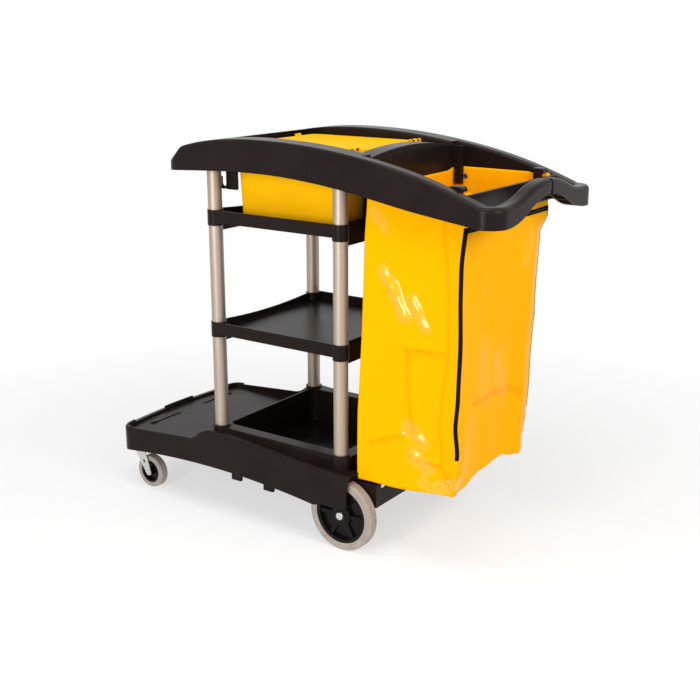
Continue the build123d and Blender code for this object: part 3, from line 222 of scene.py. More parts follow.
black_plastic = Finish("black_moulded_plastic", BLACK, Specular_IOR_Level=0.10)
clouds = black_plastic.grain(scale=7.0, detail=4.0)
pores = black_plastic.grain(scale=750.0, detail=2.0)
black_plastic.mottle(clouds, dark=0.85, light=1.25)
black_plastic.set("Roughness", 0.19 + clouds * 0.14 + pores * 0.06)
edges = black_plastic.round_edges(radius=0.003)
black_plastic.set("Normal", black_plastic.bump(pores, strength=0.22, distance=0.0004, normal=edges))
print("black plastic:", len(black_plastic.tree.nodes), "nodes")

# %% [markdown]
# The wheel centres are a harder, smoother black. The tyres are pale grey rubber, matt and faintly dusty.
# The dust could be a mask that is painted by hand, but it has no clear edge on a tyre, so one noise
# varies the colour and the roughness together.

# %% Wheel centres and tyres
HUB_BLACK = (0.0045, 0.0034, 0.0030)
TYRE_GREY = (0.32, 0.27, 0.235)

hub_plastic = Finish("hub_plastic", HUB_BLACK, Specular_IOR_Level=0.12)
hub_clouds = hub_plastic.grain(scale=30.0, detail=3.0)
hub_pores = hub_plastic.grain(scale=600.0, detail=2.0)
hub_plastic.mottle(hub_clouds, dark=0.8, light=1.5, high=0.7)
hub_plastic.set("Roughness", 0.14 + hub_clouds * 0.12)
hub_edges = hub_plastic.round_edges(radius=0.0012)
hub_plastic.set("Normal", hub_plastic.bump(hub_pores, strength=0.12, distance=0.0004, normal=hub_edges))

tyre_rubber = Finish("grey_tyre_rubber", TYRE_GREY, Specular_IOR_Level=0.3)
dust = tyre_rubber.grain(scale=45.0, detail=5.0)
tyre_pores = tyre_rubber.grain(scale=900.0, detail=2.0)
tyre_rubber.mottle(dust, dark=0.86, light=1.12, low=0.32, high=0.68)
tyre_rubber.set("Roughness", 0.5 + dust * 0.25)
tyre_edges = tyre_rubber.round_edges(radius=0.001)
tyre_rubber.set("Normal", tyre_rubber.bump(tyre_pores, strength=0.2, distance=0.0004, normal=tyre_edges))
print("wheel finishes:", hub_plastic.material.name, tyre_rubber.material.name)

# %% [markdown]
# Three metals and a bearing plastic: zinc plate on the casters and bolts, satin anodised aluminium on the
# posts, whose drawing lines run along the tube, and the dark plating of the zip pulls. Stretching the
# noise along Z turns its lumps into those lines. An anisotropic shader could imply them, but it would
# need a tangent on every tube.

# %% Metals and bushes
ZINC = (0.62, 0.61, 0.58)
ALUMINIUM = (0.40, 0.326, 0.265)
PULL_METAL = (0.10, 0.09, 0.085)
BUSH_WHITE = (0.62, 0.60, 0.55)
ALONG_THE_POST = (1.0, 1.0, 0.01)

zinc_plate = Finish("zinc_plated_steel", ZINC, Metallic=1.0)
spangle = zinc_plate.grain(scale=120.0, detail=3.0)
zinc_plate.mottle(spangle, dark=0.82, light=1.1, low=0.3, high=0.7)
zinc_plate.set("Roughness", 0.22 + spangle * 0.2)
zinc_edges = zinc_plate.round_edges(radius=0.0006)
zinc_plate.set("Normal", zinc_plate.bump(spangle, strength=0.06, distance=0.0005, normal=zinc_edges))

post_metal = Finish("satin_anodised_aluminium", ALUMINIUM, Metallic=0.8)
lines = post_metal.grain(scale=520.0, detail=2.0, stretch=ALONG_THE_POST)
post_metal.mottle(lines, dark=0.94, light=1.05, low=0.3, high=0.7)
post_metal.set("Roughness", 0.42 + lines * 0.14)
post_metal.set("Normal", post_metal.bump(lines, strength=0.05, distance=0.0003))

pull_metal = Finish("dark_plated_pull", PULL_METAL, Metallic=0.9)
rub = pull_metal.grain(scale=300.0, detail=3.0)
pull_metal.mottle(rub, dark=0.8, light=1.7, high=0.7)
pull_metal.set("Roughness", 0.28 + rub * 0.2)

bush_plastic = Finish("bush_plastic", BUSH_WHITE, Roughness=0.5)
bush_plastic.mottle(bush_plastic.grain(scale=80.0, detail=2.0), dark=0.92, light=1.05)
print("metals:", zinc_plate.material.name, post_metal.material.name, pull_metal.material.name)

# %% [markdown]
# Two yellows. The bin and its lid are moulded, satin and a little waxy. The bag is coated vinyl, much
# glossier, with broad soft wrinkles that break up the reflections, and very fine ones from the cloth
# under the coating. The sheet stores how deep in a crease each point is, where the colour is painted a
# deeper orange as shade, and how far up a fold, where rubbing has polished the coating.

# %% Yellow plastic and yellow vinyl
BIN_YELLOW = (0.98, 0.49, 0.003)
BAG_YELLOW = (0.93, 0.400, 0.001)
# The deeper orange that is painted into the creases as shade.
CREASE_SHADE_ORANGE = (0.89, 0.325, 0.001)
DOWN_THE_BAG = (1.0, 1.0, 0.45)

bin_plastic = Finish("yellow_moulded_plastic", BIN_YELLOW, Specular_IOR_Level=0.012)
bin_clouds = bin_plastic.grain(scale=9.0, detail=3.0)
bin_pores = bin_plastic.grain(scale=800.0, detail=2.0)
bin_plastic.mottle(bin_clouds, dark=0.96, light=1.03)
bin_plastic.set("Roughness", 0.48 + bin_clouds * 0.14)
bin_edges = bin_plastic.round_edges(radius=0.0015)
bin_plastic.set("Normal", bin_plastic.bump(bin_pores, strength=0.1, distance=0.0004, normal=bin_edges))


class Vinyl(Finish):
    """Coated vinyl: painted shade in its creases, polished on its folds, with soft wrinkles."""

    def __init__(self, name):
        super().__init__(name, BAG_YELLOW, Specular_IOR_Level=0.005, Coat_Roughness=0.16)
        ripple = self.grain(scale=34.0, detail=3.0, stretch=DOWN_THE_BAG)
        cloth = self.grain(scale=1100.0, detail=1.0)
        # Painted shade: the base colour goes to a deeper orange where the sheet is deep in a crease.
        self.set("Base Color", self.ramp(self.stored("crease"), (0.0, BAG_YELLOW), (1.0, CREASE_SHADE_ORANGE)))
        self.set("Roughness", 0.15 + self.grain(scale=6.0, detail=3.0) * 0.1)
        self.set("Coat Weight", self.stored("shine") * 0.8)
        broad = self.bump(ripple, strength=0.3, distance=0.004)
        self.wrinkles = self.bump(cloth, strength=0.05, distance=0.0003, normal=broad)
        self.set("Normal", self.wrinkles)


bag_vinyl = Vinyl("glossy_yellow_vinyl")
print("yellows:", bin_plastic.material.name, bag_vinyl.material.name)

# %% [markdown]
# The hem of the bag is the same vinyl, pinched along its stitches. The strip keeps how far across each
# point is, so the pinch follows the hem wherever it hangs. The zip tape is a dark woven band, whose ribs
# are drawn the same way. Its teeth are moulded plastic, and the stitches are a thick thread.

# %% Hem, thread, zip tape and teeth
TAPE_BROWN = (0.0060, 0.0042, 0.0040)
TOOTH_BROWN = (0.0075, 0.0058, 0.0054)
THREAD_YELLOW = (0.80, 0.36, 0.010)
STITCH_LINE = 0.019
PINCH_HALF = 0.0012
TAPE_RIB = 0.12
THREAD_TWIST = (1.0, 1.0, 3.0)

hem_vinyl = Vinyl("stitched_vinyl_hem")
pinch = abs(hem_vinyl.stored("crosswise") - STITCH_LINE) < PINCH_HALF
hem_vinyl.set("Roughness", 0.2 + pinch * 0.2)
hem_vinyl.set("Normal", hem_vinyl.bump(
    1 - pinch, strength=0.5, distance=0.0004, normal=hem_vinyl.wrinkles))

stitch_thread = Finish("stitch_thread", THREAD_YELLOW, Roughness=0.6, Specular_IOR_Level=0.1)
twist = stitch_thread.grain(scale=1600.0, detail=1.0, stretch=THREAD_TWIST)
stitch_thread.mottle(twist, dark=0.8, light=1.1)
stitch_thread.set("Normal", stitch_thread.bump(twist, strength=0.3, distance=0.0003))

tape_cloth = Finish("woven_zip_tape", TAPE_BROWN, Specular_IOR_Level=0.02)
fluff = tape_cloth.grain(scale=900.0, detail=2.0)
ribs = tape_cloth.stored("crosswise").wave(TAPE_RIB)
tape_cloth.mottle(fluff, dark=0.7, light=1.5, low=0.3, high=0.7)
tape_cloth.set("Roughness", 0.65 + fluff * 0.25)
tape_cloth.set("Normal", tape_cloth.bump(ribs, strength=0.3, distance=0.0004))

tooth_plastic = Finish("zip_teeth_plastic", TOOTH_BROWN, Specular_IOR_Level=0.1)
scuffs = tooth_plastic.grain(scale=700.0, detail=2.0)
tooth_plastic.mottle(scuffs, dark=0.8, light=1.6, high=0.7)
tooth_plastic.set("Roughness", 0.28 + scuffs * 0.2)
print("strip finishes:", hem_vinyl.material.name, tape_cloth.material.name)

# %% [markdown]
# Each solid takes its finish by the material slot that the record gives it, so a solid can't be missed.
# Picking solids by name would need a line for each of them.

# %% Dress the solids
slot_finish = {
    "black_plastic": black_plastic,
    "hub_plastic": hub_plastic,
    "grey_tyre": tyre_rubber,
    "plated_steel": zinc_plate,
    "bush_plastic": bush_plastic,
    "post_aluminium": post_metal,
    "yellow_plastic": bin_plastic,
    "yellow_vinyl": bag_vinyl,
    "zip_fabric": tape_cloth,
    "zip_metal": pull_metal,
}
for subpart in frame["record"]["subparts"]:
    mesh = nodes[subpart["node"]].data
    mesh.materials.clear()
    mesh.materials.append(slot_finish[subpart["material_slot"]].material)

# %% [markdown]
# The bag hangs from four hooks behind the posts. It is a thin sheet that keeps the folds of its packing:
# a crease down the side near each edge, short folds across the side that catch the light, and a rear
# panel that leans in at its far lower corner. It starts as a box without a top, cut into a fine grid by
# planes, and then each point is moved by the functions below. Moving points keeps the folds where they
# were seen, which a cloth simulation would not.

# %% Bag sizes
bag_lo, bag_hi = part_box("waste_bag")
BAG_BULGE = 0.026
BAG_FRONT_X = bag_lo.x + BAG_BULGE
BAG_REAR_X = bag_hi.x
BAG_HALF = bag_hi.y
BAG_Z0 = bag_lo.z
BAG_Z1 = bag_hi.z
BELLY_Z = 0.4
HOOK_X = [sum(corner.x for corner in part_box(f"{end}_bag_hooks")) / 2 for end in ("front", "rear")]
print("bag from", tuple(round(v, 4) for v in bag_lo), "to", tuple(round(v, 4) for v in bag_hi))

# %% [markdown]
# A fold is a path drawn on a panel, with a height and a width. Sides are drawn as (x, z) and the rear
# panel as (y, z), in metres. Folds stand out and catch the light. Creases are pressed in.

# %% Folds of the bag
SIDE_FOLDS = [
    (0.0065, 0.019, [(0.276, 0.938), (0.306, 0.906)]),
    (0.0075, 0.022, [(0.306, 0.790), (0.340, 0.752)]),
    (0.0085, 0.024, [(0.338, 0.748), (0.372, 0.684)]),
    (0.0075, 0.020, [(0.394, 0.728), (0.432, 0.664)]),
    (0.0105, 0.024, [(0.388, 0.386), (0.430, 0.358)]),
    (0.0105, 0.024, [(0.404, 0.316), (0.446, 0.288)]),
    (0.0095, 0.022, [(0.484, 0.244), (0.526, 0.260)]),
    (0.0070, 0.016, [(0.436, 0.246), (0.468, 0.225)]),
]
SIDE_CREASES = [
    (-0.0065, 0.010, [(0.385, 0.601), (0.441, 0.603), (0.500, 0.607)]),
    (-0.0045, 0.010, [(0.388, 0.595), (0.388, 0.518), (0.396, 0.445), (0.404, 0.372)]),
    (-0.0050, 0.010, [(0.272, 0.323), (0.336, 0.353), (0.403, 0.382)]),
    (-0.0060, 0.009, [(0.424, 0.299), (0.497, 0.306)]),
]
REAR_FOLDS = [
    (0.0035, 0.032, [(-0.100, 0.585), (-0.060, 0.450)]),
    (0.0035, 0.032, [(-0.010, 0.540), (0.050, 0.445)]),
    (0.0035, 0.024, [(-0.170, 0.400), (-0.195, 0.275)]),
    (0.0035, 0.022, [(0.140, 0.855), (0.125, 0.785)]),
]
REAR_CREASES = [
    (-0.0035, 0.011, [(-0.135, 0.451), (-0.020, 0.447), (0.080, 0.440), (0.165, 0.405)]),
]
print("folds:", len(SIDE_FOLDS), "on the side and", len(REAR_FOLDS), "on the rear")

# %% [markdown]
# What changes slowly over the bag is a curve of a few stops. Up the bag, with z first, they say where the
# two long creases of a side lie (x), how the near rear edge sways, how much of the lean is left, and how
# far the far rear corner is in. Across the bag, with y first, they say how far the rear panel leans in at
# the bottom and how far its lower edge is lifted.

# %% Curves of the bag
FRONT_CREASE = [(0.207, 0.259), (0.336, 0.256), (0.542, 0.254), (0.750, 0.258), (0.947, 0.266)]
REAR_CREASE = [
    (0.207, 0.537), (0.233, 0.529), (0.265, 0.508), (0.310, 0.495), (0.416, 0.484),
    (0.490, 0.491), (0.610, 0.503), (0.786, 0.499), (0.920, 0.484)]
REAR_EDGE_SWAY = [
    (0.207, -0.014), (0.260, -0.002), (0.350, 0.003), (0.419, -0.006), (0.500, 0.000),
    (0.622, 0.003), (0.742, -0.001), (0.900, -0.001), (0.970, 0.000)]
LEAN_SHARE = [(0.207, 1.00), (0.450, 0.80), (0.660, 0.50), (0.850, 0.20), (0.920, 0.00)]
FAR_CORNER_IN = [(0.207, -0.014), (0.400, -0.026), (0.660, -0.022), (0.840, -0.014), (0.910, 0.000)]
REAR_LEAN = [(-0.224, 0.000), (-0.200, -0.005), (-0.050, -0.025), (0.080, -0.036), (0.224, -0.028)]
REAR_LIFT = [
    (-0.224, 0.016), (-0.190, 0.028), (-0.050, 0.033),
    (0.080, 0.030), (0.150, 0.012), (0.200, 0.000)]


def share_of(value, start, end):
    """0 before start, 1 after end, and even between."""
    return min(1.0, max(0.0, (value - start) / (end - start)))


def ease(value, start, end):
    """0 before start, 1 after end, smooth between."""
    share = share_of(value, start, end)
    return share * share * (3 - 2 * share)


def along(value, stops):
    """Read a smooth curve that is given by a few stops."""
    for (start, low), (end, high) in zip(stops, stops[1:]):
        if value <= end:
            return low + (high - low) * ease(value, start, end)
    return stops[-1][1]


print("rear panel leans in by", -1000 * min(lean for _, lean in REAR_LEAN), "mm at most")

# %% [markdown]
# A fold with straight flanks mirrors a lamp as one clear streak, as creased vinyl does, so the folds of
# the sides have the section of a tent. Soft folds and creases have a rounded section. A little noise on
# the distance from the path keeps either from looking ruled.

# %% How folds stand out
UNREST = 0.007
UNREST_SCALE = 36


def ridge(distance, width):
    """1 on a fold, falling smoothly to 0 on both sides of it."""
    return math.exp(-(distance / width) ** 2)


def tent(distance, width):
    """1 on the crest of a fold, with straight flanks down to 0."""
    return max(0.0, 1 - distance / width)


def from_path(u, v, path):
    """Distance of a place on a panel from a path that is drawn on it."""
    nearest = 1.0
    for (u0, v0), (u1, v1) in zip(path, path[1:]):
        run_u = u1 - u0
        run_v = v1 - v0
        share = ((u - u0) * run_u + (v - v0) * run_v) / (run_u * run_u + run_v * run_v)
        share = min(1.0, max(0.0, share))
        nearest = min(nearest, math.hypot(u - u0 - share * run_u, v - v0 - share * run_v))
    return nearest


def from_folds(u, v, folds):
    """Distance of a place on a panel from the nearest of several folds."""
    return min(from_path(u, v, path) for _, _, path in folds)


def folded(u, v, folds, profile):
    """How far a panel stands out at a place on it."""
    unrest = UNREST * noise.noise(Vector((UNREST_SCALE * u, UNREST_SCALE * v, 0.0)))
    return sum(height * profile(from_path(u, v, path) + unrest, width) for height, width, path in folds)


print("tallest fold:", 1000 * max(height for height, _, _ in SIDE_FOLDS), "mm")

# %% [markdown]
# Each side of the bag is three strips: the long creases part a narrow one at the front and at the rear
# from the middle, and both narrow ones turn in below the hooks.

# %% How a side hangs
HOOK_ZONE = (0.82, 0.95)
FRONT_TURN_IN = 0.005
REAR_TURN_IN = 0.020
FRONT_PRESS = 0.0012
REAR_PRESS = 0.0020
PRESS_WIDTH = 0.006


def side_out(x, z, front_x):
    """How far a side panel stands out, with its creases and its turned-in edges."""
    front_crease = along(z, FRONT_CREASE)
    rear_crease = along(z, REAR_CREASE)
    front_strip = share_of(x, front_crease, front_x)
    rear_strip = share_of(x, rear_crease, BAG_REAR_X)
    below_hooks = 1 - ease(z, *HOOK_ZONE)
    lift = folded(x, z, SIDE_FOLDS, tent) + folded(x, z, SIDE_CREASES, ridge)
    lift -= FRONT_TURN_IN * front_strip * below_hooks
    lift -= FRONT_PRESS * ridge(x - front_crease, PRESS_WIDTH)
    lift -= REAR_TURN_IN * rear_strip * below_hooks
    lift -= REAR_PRESS * ridge(x - rear_crease, PRESS_WIDTH)
    return lift


print("turned in:", 1000 * FRONT_TURN_IN, "mm at the front and", 1000 * REAR_TURN_IN, "mm at the rear")

# %% [markdown]
# Every point of the plain box has a place on the hung bag. Zones say where each motion starts and where
# it is full, as shares of the box or as heights, so no seam shows between panels. Separate meshes for the
# panels would have to be sewn together again.

# %% Zones of the bag
SIDE_ZONE = (0.80, 1.0)
REAR_ZONE = (0.85, 1.0)
FRONT_ZONE = (0.0, 0.15)
FAR_ZONE = (0.2, 1.0)
LEAN_ZONE = (0.3, 1.0)
HELD_HEIGHTS = (0.90, 0.962)
ZIP_HEIGHTS = (0.84, 0.905)
HELD_WIDTH = 0.032
SWAY_SCALE = (3.1, 3.1, 2.2)
WRINKLE_SCALE = (13.0, 13.0, 8.0)


def lumps(point, scale):
    """Smooth random value at a place, between -1 and 1."""
    return noise.noise(Vector([part * factor for part, factor in zip(point, scale)]))


class Spot:
    """A point of the plain box, and how far it is in each zone."""

    def __init__(self, point):
        self.x, self.y, self.z = point
        self.height = (self.z - BAG_Z0) / (BAG_Z1 - BAG_Z0)
        self.depth = (self.x - BAG_FRONT_X) / (BAG_REAR_X - BAG_FRONT_X)
        self.across = self.y / BAG_HALF
        self.on_side = ease(abs(self.across), *SIDE_ZONE)
        self.on_near = ease(-self.across, *SIDE_ZONE)
        self.on_rear = ease(self.depth, *REAR_ZONE)
        self.on_front = 1 - ease(self.depth, *FRONT_ZONE)
        self.far = ease(self.across, *FAR_ZONE)
        self.lean = ease(self.depth, *LEAN_ZONE)
        self.below_zip = 1 - ease(self.z, *ZIP_HEIGHTS)
        at_hook = max(ridge(self.x - hook, HELD_WIDTH) for hook in HOOK_X)
        self.held = ease(self.z, *HELD_HEIGHTS) * at_hook
        self.bulge = BAG_BULGE * min(1.0, (BAG_Z1 - self.z) / (BAG_Z1 - BELLY_Z))
        self.sway = lumps(point, SWAY_SCALE)
        self.wrinkle = lumps(point, WRINKLE_SCALE)


near_corner = Vector((BAG_REAR_X, -BAG_HALF, BAG_Z0))
print("near lower corner is on the side by", Spot(near_corner).on_side)

# %% [markdown]
# The front of the bag bulges forwards. The rear panel leans in towards its lower far corner, its near
# edge sways, and below the zip it is folded. A lattice could lean the whole bag at once, but not fold it.

# %% Front and rear of the bag
FRONT_SWAY = 0.003
FRONT_BIAS = 0.4
REAR_SET_IN = 0.005
REAR_SWAY = 0.003
REAR_WRINKLE = 0.0012
FAR_EDGE_IN = 0.024
FAR_EDGE_ZONE = (0.78, 1.0)


def hung_x(spot):
    """Place along the cart, with the bulge of the front and the lean of the rear panel."""
    x = spot.x - spot.bulge * (1 - spot.depth)
    x += spot.on_front * FRONT_SWAY * (spot.sway + FRONT_BIAS)
    x += along(spot.y, REAR_LEAN) * along(spot.z, LEAN_SHARE) * spot.lean
    x += spot.on_rear * spot.on_near * along(spot.z, REAR_EDGE_SWAY)
    x -= FAR_EDGE_IN * ease(spot.across, *FAR_EDGE_ZONE) * spot.on_rear * spot.below_zip
    out = folded(spot.y, spot.z, REAR_FOLDS, ridge) + folded(spot.y, spot.z, REAR_CREASES, ridge)
    out += REAR_SWAY * spot.sway + REAR_WRINKLE * spot.wrinkle - REAR_SET_IN
    return x + spot.on_rear * (1 - spot.on_side) * spot.below_zip * out


print("near lower corner goes", round(1000 * (hung_x(Spot(near_corner)) - BAG_REAR_X), 1), "mm along X")

# %% [markdown]
# The sides stand out by their folds, except where the hooks hold them. The mouth sags between the hooks,
# and the lower edge of the rear panel is lifted. A cloth simulation would sag too, but its folds would
# change with every setting.

# %% How the bag hangs
SIDE_SWAY = 0.0025
SIDE_BIAS = 0.6
SIDE_WRINKLE = 0.0016
FAR_CALM = 0.4
FAR_CORNER_ZONE = (0.6, 1.0)
LOW_ZONE = (0.0, 0.18)
MOUTH_ZONE = (0.93, 1.0)
FRONT_DROP = 0.009
REAR_DROP = 0.011
FAR_RISE = 0.0015


def hung_y(spot, x):
    """Place across the cart, for a point that already has its new x."""
    out = side_out(x, spot.z, BAG_FRONT_X - spot.bulge) * (1.0 - FAR_CALM * spot.far)
    out += SIDE_SWAY * (spot.sway - SIDE_BIAS) + SIDE_WRINKLE * spot.wrinkle
    out += along(spot.z, FAR_CORNER_IN) * spot.far * ease(spot.depth, *FAR_CORNER_ZONE)
    return spot.y + math.copysign(spot.on_side * out * (1 - spot.held), spot.y)


def hung_z(spot):
    """Height, with the sag of the mouth and the lift of the lower edge."""
    low = 1 - ease(spot.height, *LOW_ZONE)
    mouth = ease(spot.height, *MOUTH_ZONE)
    sag = mouth * (1 - spot.on_side) * (FRONT_DROP * spot.on_front + REAR_DROP * spot.on_rear)
    return spot.z + along(spot.y, REAR_LIFT) * spot.lean * low - sag + FAR_RISE * mouth * spot.far


def hang(point):
    """Where a point of the plain box hangs on the real bag."""
    spot = Spot(point)
    x = hung_x(spot)
    return Vector((x, hung_y(spot, x), hung_z(spot)))


print("near lower corner moves", round(1000 * (hang(near_corner) - near_corner).length, 1), "mm in all")

# %% [markdown]
# The vinyl's finish reads two numbers from the sheet. They come from the same folds as the shape, so the
# painted shade of a crease and the gloss of a fold are always where the crease and the fold are.

# %% What the sheet stores
REAR_BAND = 0.05
REAR_SHARE = 0.9
REAR_CREASE_WIDTH = 0.008
SIDE_CREASE_WIDTH = 0.005
REAR_POLISH = 0.012
SIDE_POLISH = 0.002
FAR_SHINE = 0.35


def on_rear_panel(point):
    return point.x > BAG_REAR_X - REAR_BAND and abs(point.y) < REAR_SHARE * BAG_HALF


def crease_depth(point):
    """How deep in a crease a hung point is, from 0 to 1."""
    if on_rear_panel(point):
        return ridge(from_folds(point.y, point.z, REAR_CREASES), REAR_CREASE_WIDTH)
    nearest = from_folds(point.x, point.z, SIDE_CREASES)
    nearest = min(nearest, abs(point.x - along(point.z, REAR_CREASE)))
    return ridge(nearest, SIDE_CREASE_WIDTH)


def fold_height(point):
    """How far up a fold a hung point is, from 0 to 1."""
    if on_rear_panel(point):
        return min(1.0, folded(point.y, point.z, REAR_FOLDS, ridge) / REAR_POLISH)
    most = 1.0 if point.y < 0 else FAR_SHINE
    return min(most, folded(point.x, point.z, SIDE_FOLDS, tent) / SIDE_POLISH)


print("near lower corner is", round(crease_depth(hang(near_corner)), 2), "deep in a crease")

# %% [markdown]
# Every piece that is made here is a mesh with one finish. It also says which body of the cart it rides
# on, so that it moves like the solids. The operators of the Blender window could add objects as well, but
# what they do depends on what is selected.


# %% New pieces
def new_piece(name, bm, finish, slot, body="cart", smooth=True):
    """Mesh object from a bmesh, with its finish and its body. Its slot argument is not used."""
    mesh = bpy.data.meshes.new(name)
    for face in bm.faces:
        face.smooth = smooth
    bm.to_mesh(mesh)
    bm.free()
    mesh.materials.append(finish.material)
    piece = bpy.data.objects.new(name, mesh)
    bpy.context.scene.collection.objects.link(piece)
    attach(piece, body)
    return piece


def thicken(piece, thickness, offset):
    """Solidify: offset -1 grows inwards and 1 outwards."""
    wall = piece.modifiers.new("thickness", "SOLIDIFY")
    wall.thickness = thickness
    wall.offset = offset


print("helpers for pieces:", new_piece.__name__, thicken.__name__)

# %% [markdown]
# The sheet, the hem and the tape are all cut from one box. A bisect for each grid line leaves even
# squares, where a subdivision would follow the long faces of the box.

# %% Cut into a fine grid
X_AXIS, Y_AXIS, Z_AXIS = range(3)


def cut_at(bm, axis, value):
    """Cut every face with one plane across an axis."""
    normal = Vector((0.0, 0.0, 0.0))
    normal[axis] = 1.0
    geometry = bm.verts[:] + bm.edges[:] + bm.faces[:]
    bmesh.ops.bisect_plane(bm, geom=geometry, plane_co=normal * value, plane_no=normal)


def cut_grid(bm, axis, start, end, step):
    """Cut every face with evenly spaced planes across one axis."""
    count = max(1, round((end - start) / step))
    for line in range(1, count):
        cut_at(bm, axis, start + (end - start) * line / count)


def keep_faces(bm, wanted):
    """Delete the faces whose middle isn't wanted."""
    spare = [face for face in bm.faces if not wanted(face.calc_center_median())]
    bmesh.ops.delete(bm, geom=spare, context="FACES")


print("helpers for cutting:", cut_at.__name__, cut_grid.__name__, keep_faces.__name__)

# %% [markdown]
# The box is created at the bag's place and size, and its upright edges are bevelled. The bevel comes
# before the cuts, while each edge is still in one length.

# %% The plain box
CORNER_R = 0.0105
SLIVER = 0.001


def plain_box():
    """The bag's box with rounded upright edges, before it hangs."""
    bm = bmesh.new()
    size = Vector((BAG_REAR_X - BAG_FRONT_X, 2 * BAG_HALF, BAG_Z1 - BAG_Z0))
    middle = Vector(((BAG_REAR_X + BAG_FRONT_X) / 2, 0.0, (BAG_Z0 + BAG_Z1) / 2))
    bmesh.ops.create_cube(bm, size=1.0, matrix=Matrix.LocRotScale(middle, None, size))
    upright = [e for e in bm.edges if abs(e.verts[0].co.z - e.verts[1].co.z) > SLIVER]
    bmesh.ops.bevel(
        bm, geom=upright, offset=CORNER_R, affect="EDGES", segments=6, profile=0.5, material=-1)
    return bm


bag_mesh = plain_box()
print("plain box:", len(bag_mesh.faces), "faces")

# %% [markdown]
# The sheet of the bag: the box's lower edges are bevelled too, its top is deleted, and every point hangs.
# The area before hanging is the area of the cut cloth. Solidify gives the sheet its thickness inwards.

# %% The sheet of the bag
BOTTOM_R = 0.006
GRID = 0.006
SHEET_T = 0.0014

lower = [e for e in bag_mesh.edges if max(v.co.z for v in e.verts) < BAG_Z0 + SLIVER]
bmesh.ops.bevel(
    bag_mesh, geom=lower, offset=BOTTOM_R, affect="EDGES", segments=2, profile=0.5, material=-1)
keep_faces(bag_mesh, lambda middle: middle.z < BAG_Z1 - SLIVER)
cut_grid(bag_mesh, X_AXIS, BAG_FRONT_X, BAG_REAR_X, GRID)
cut_grid(bag_mesh, Y_AXIS, -BAG_HALF, BAG_HALF, GRID)
cut_grid(bag_mesh, Z_AXIS, BAG_Z0, BAG_Z1, GRID)
flat_area = sum(face.calc_area() for face in bag_mesh.faces)
crease = bag_mesh.verts.layers.float.new("crease")
shine = bag_mesh.verts.layers.float.new("shine")
for vert in bag_mesh.verts:
    vert.co = hang(vert.co)
    # The crease depth is kept for the painted shade of the creases.
    vert[crease] = crease_depth(vert.co)
    vert[shine] = fold_height(vert.co)
bag_area = sum(face.calc_area() for face in bag_mesh.faces)
bag_sheet = new_piece("bag_sheet", bag_mesh, bag_vinyl, "yellow_vinyl")
thicken(bag_sheet, SHEET_T, -1.0)
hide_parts("waste_bag")
print("bag sheet:", len(bag_sheet.data.polygons), "faces,", round(bag_area, 3), "square metres")

# %% [markdown]
# The mouth has a hem with a line of stitches. It is a strip of the same box, so it hangs with the sheet
# and lies on it. Each point keeps how far across the strip it is, and the finish draws the pinch from it.

# %% Hem
HEM_H = 0.024
STRIP_GAP = 0.0004
STRIP_T = 0.0010


def hang_strip(bm, measure):
    """Store how far across each point is, hang the strip, and set it just outside the sheet."""
    crosswise = bm.verts.layers.float.new("crosswise")
    for vert in bm.verts:
        vert[crosswise] = measure(vert.co)
        vert.co = hang(vert.co)
    bm.normal_update()
    for vert in bm.verts:
        vert.co += STRIP_GAP * vert.normal


def below_mouth(point):
    return BAG_Z1 - point.z


hem_mesh = plain_box()
cut_at(hem_mesh, Z_AXIS, BAG_Z1 - HEM_H)
keep_faces(hem_mesh, lambda middle: BAG_Z1 - HEM_H < middle.z < BAG_Z1 - SLIVER)
cut_grid(hem_mesh, X_AXIS, BAG_FRONT_X, BAG_REAR_X, GRID)
cut_grid(hem_mesh, Y_AXIS, -BAG_HALF, BAG_HALF, GRID)
cut_grid(hem_mesh, Z_AXIS, BAG_Z1 - HEM_H, BAG_Z1, GRID)
hang_strip(hem_mesh, below_mouth)
bag_hem = new_piece("bag_hem", hem_mesh, hem_vinyl, "yellow_vinyl")
thicken(bag_hem, STRIP_T, 1.0)
print("hem:", len(bag_hem.data.polygons), "faces")

# %% [markdown]
# The rear panel is a flap that a zip closes: the tape runs down both rear edges and across the top. It
# could be a curve with a flat section, but a strip of the same box lies on the sheet without any fitting.
# Round an upright edge, places go from -1 on the side to 1 on the rear panel, and the tape starts at a
# turn of its own on the near and on the far edge.

# %% Zip tape
TAPE_W = 0.013
NEAR_TAPE_TURN = -0.68
FAR_TAPE_TURN = -1.01
TAPE_SHARE = 1.36
tape_lo, tape_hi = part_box("zip_tape")


def around_corner(point):
    """From -1 on the side to 1 on the rear panel, round an upright edge of the box."""
    turn = math.atan2(point.x - BAG_REAR_X + CORNER_R, abs(point.y) - BAG_HALF + CORNER_R)
    return 4 * turn / math.pi - 1


def at_corner(point):
    in_arc = point.x > BAG_REAR_X - CORNER_R and abs(point.y) > BAG_HALF - CORNER_R
    least = NEAR_TAPE_TURN if point.y < 0 else FAR_TAPE_TURN
    return in_arc and least < around_corner(point) < least + TAPE_SHARE


def on_tape(point):
    if not tape_lo.z < point.z < tape_hi.z:
        return False
    across_top = point.x > BAG_REAR_X - CORNER_R / 2 and point.z > tape_hi.z - TAPE_W
    return at_corner(point) or across_top


def across_tape(point):
    """From -1 to 1 across the tape, down an edge or along the top."""
    if at_corner(point) and point.z < tape_hi.z - TAPE_W:
        return around_corner(point)
    return 2 * (point.z - tape_hi.z) / TAPE_W + 1


tape_mesh = plain_box()
for level in (tape_lo.z, tape_hi.z - TAPE_W, tape_hi.z):
    cut_at(tape_mesh, Z_AXIS, level)
keep_faces(tape_mesh, on_tape)
cut_grid(tape_mesh, Y_AXIS, -BAG_HALF, BAG_HALF, GRID)
cut_grid(tape_mesh, Z_AXIS, tape_lo.z, tape_hi.z, GRID)
hang_strip(tape_mesh, across_tape)
zip_band = new_piece("zip_band", tape_mesh, tape_cloth, "zip_fabric")
thicken(zip_band, STRIP_T, 1.0)
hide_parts("zip_tape")
print("zip tape:", len(zip_band.data.polygons), "faces")

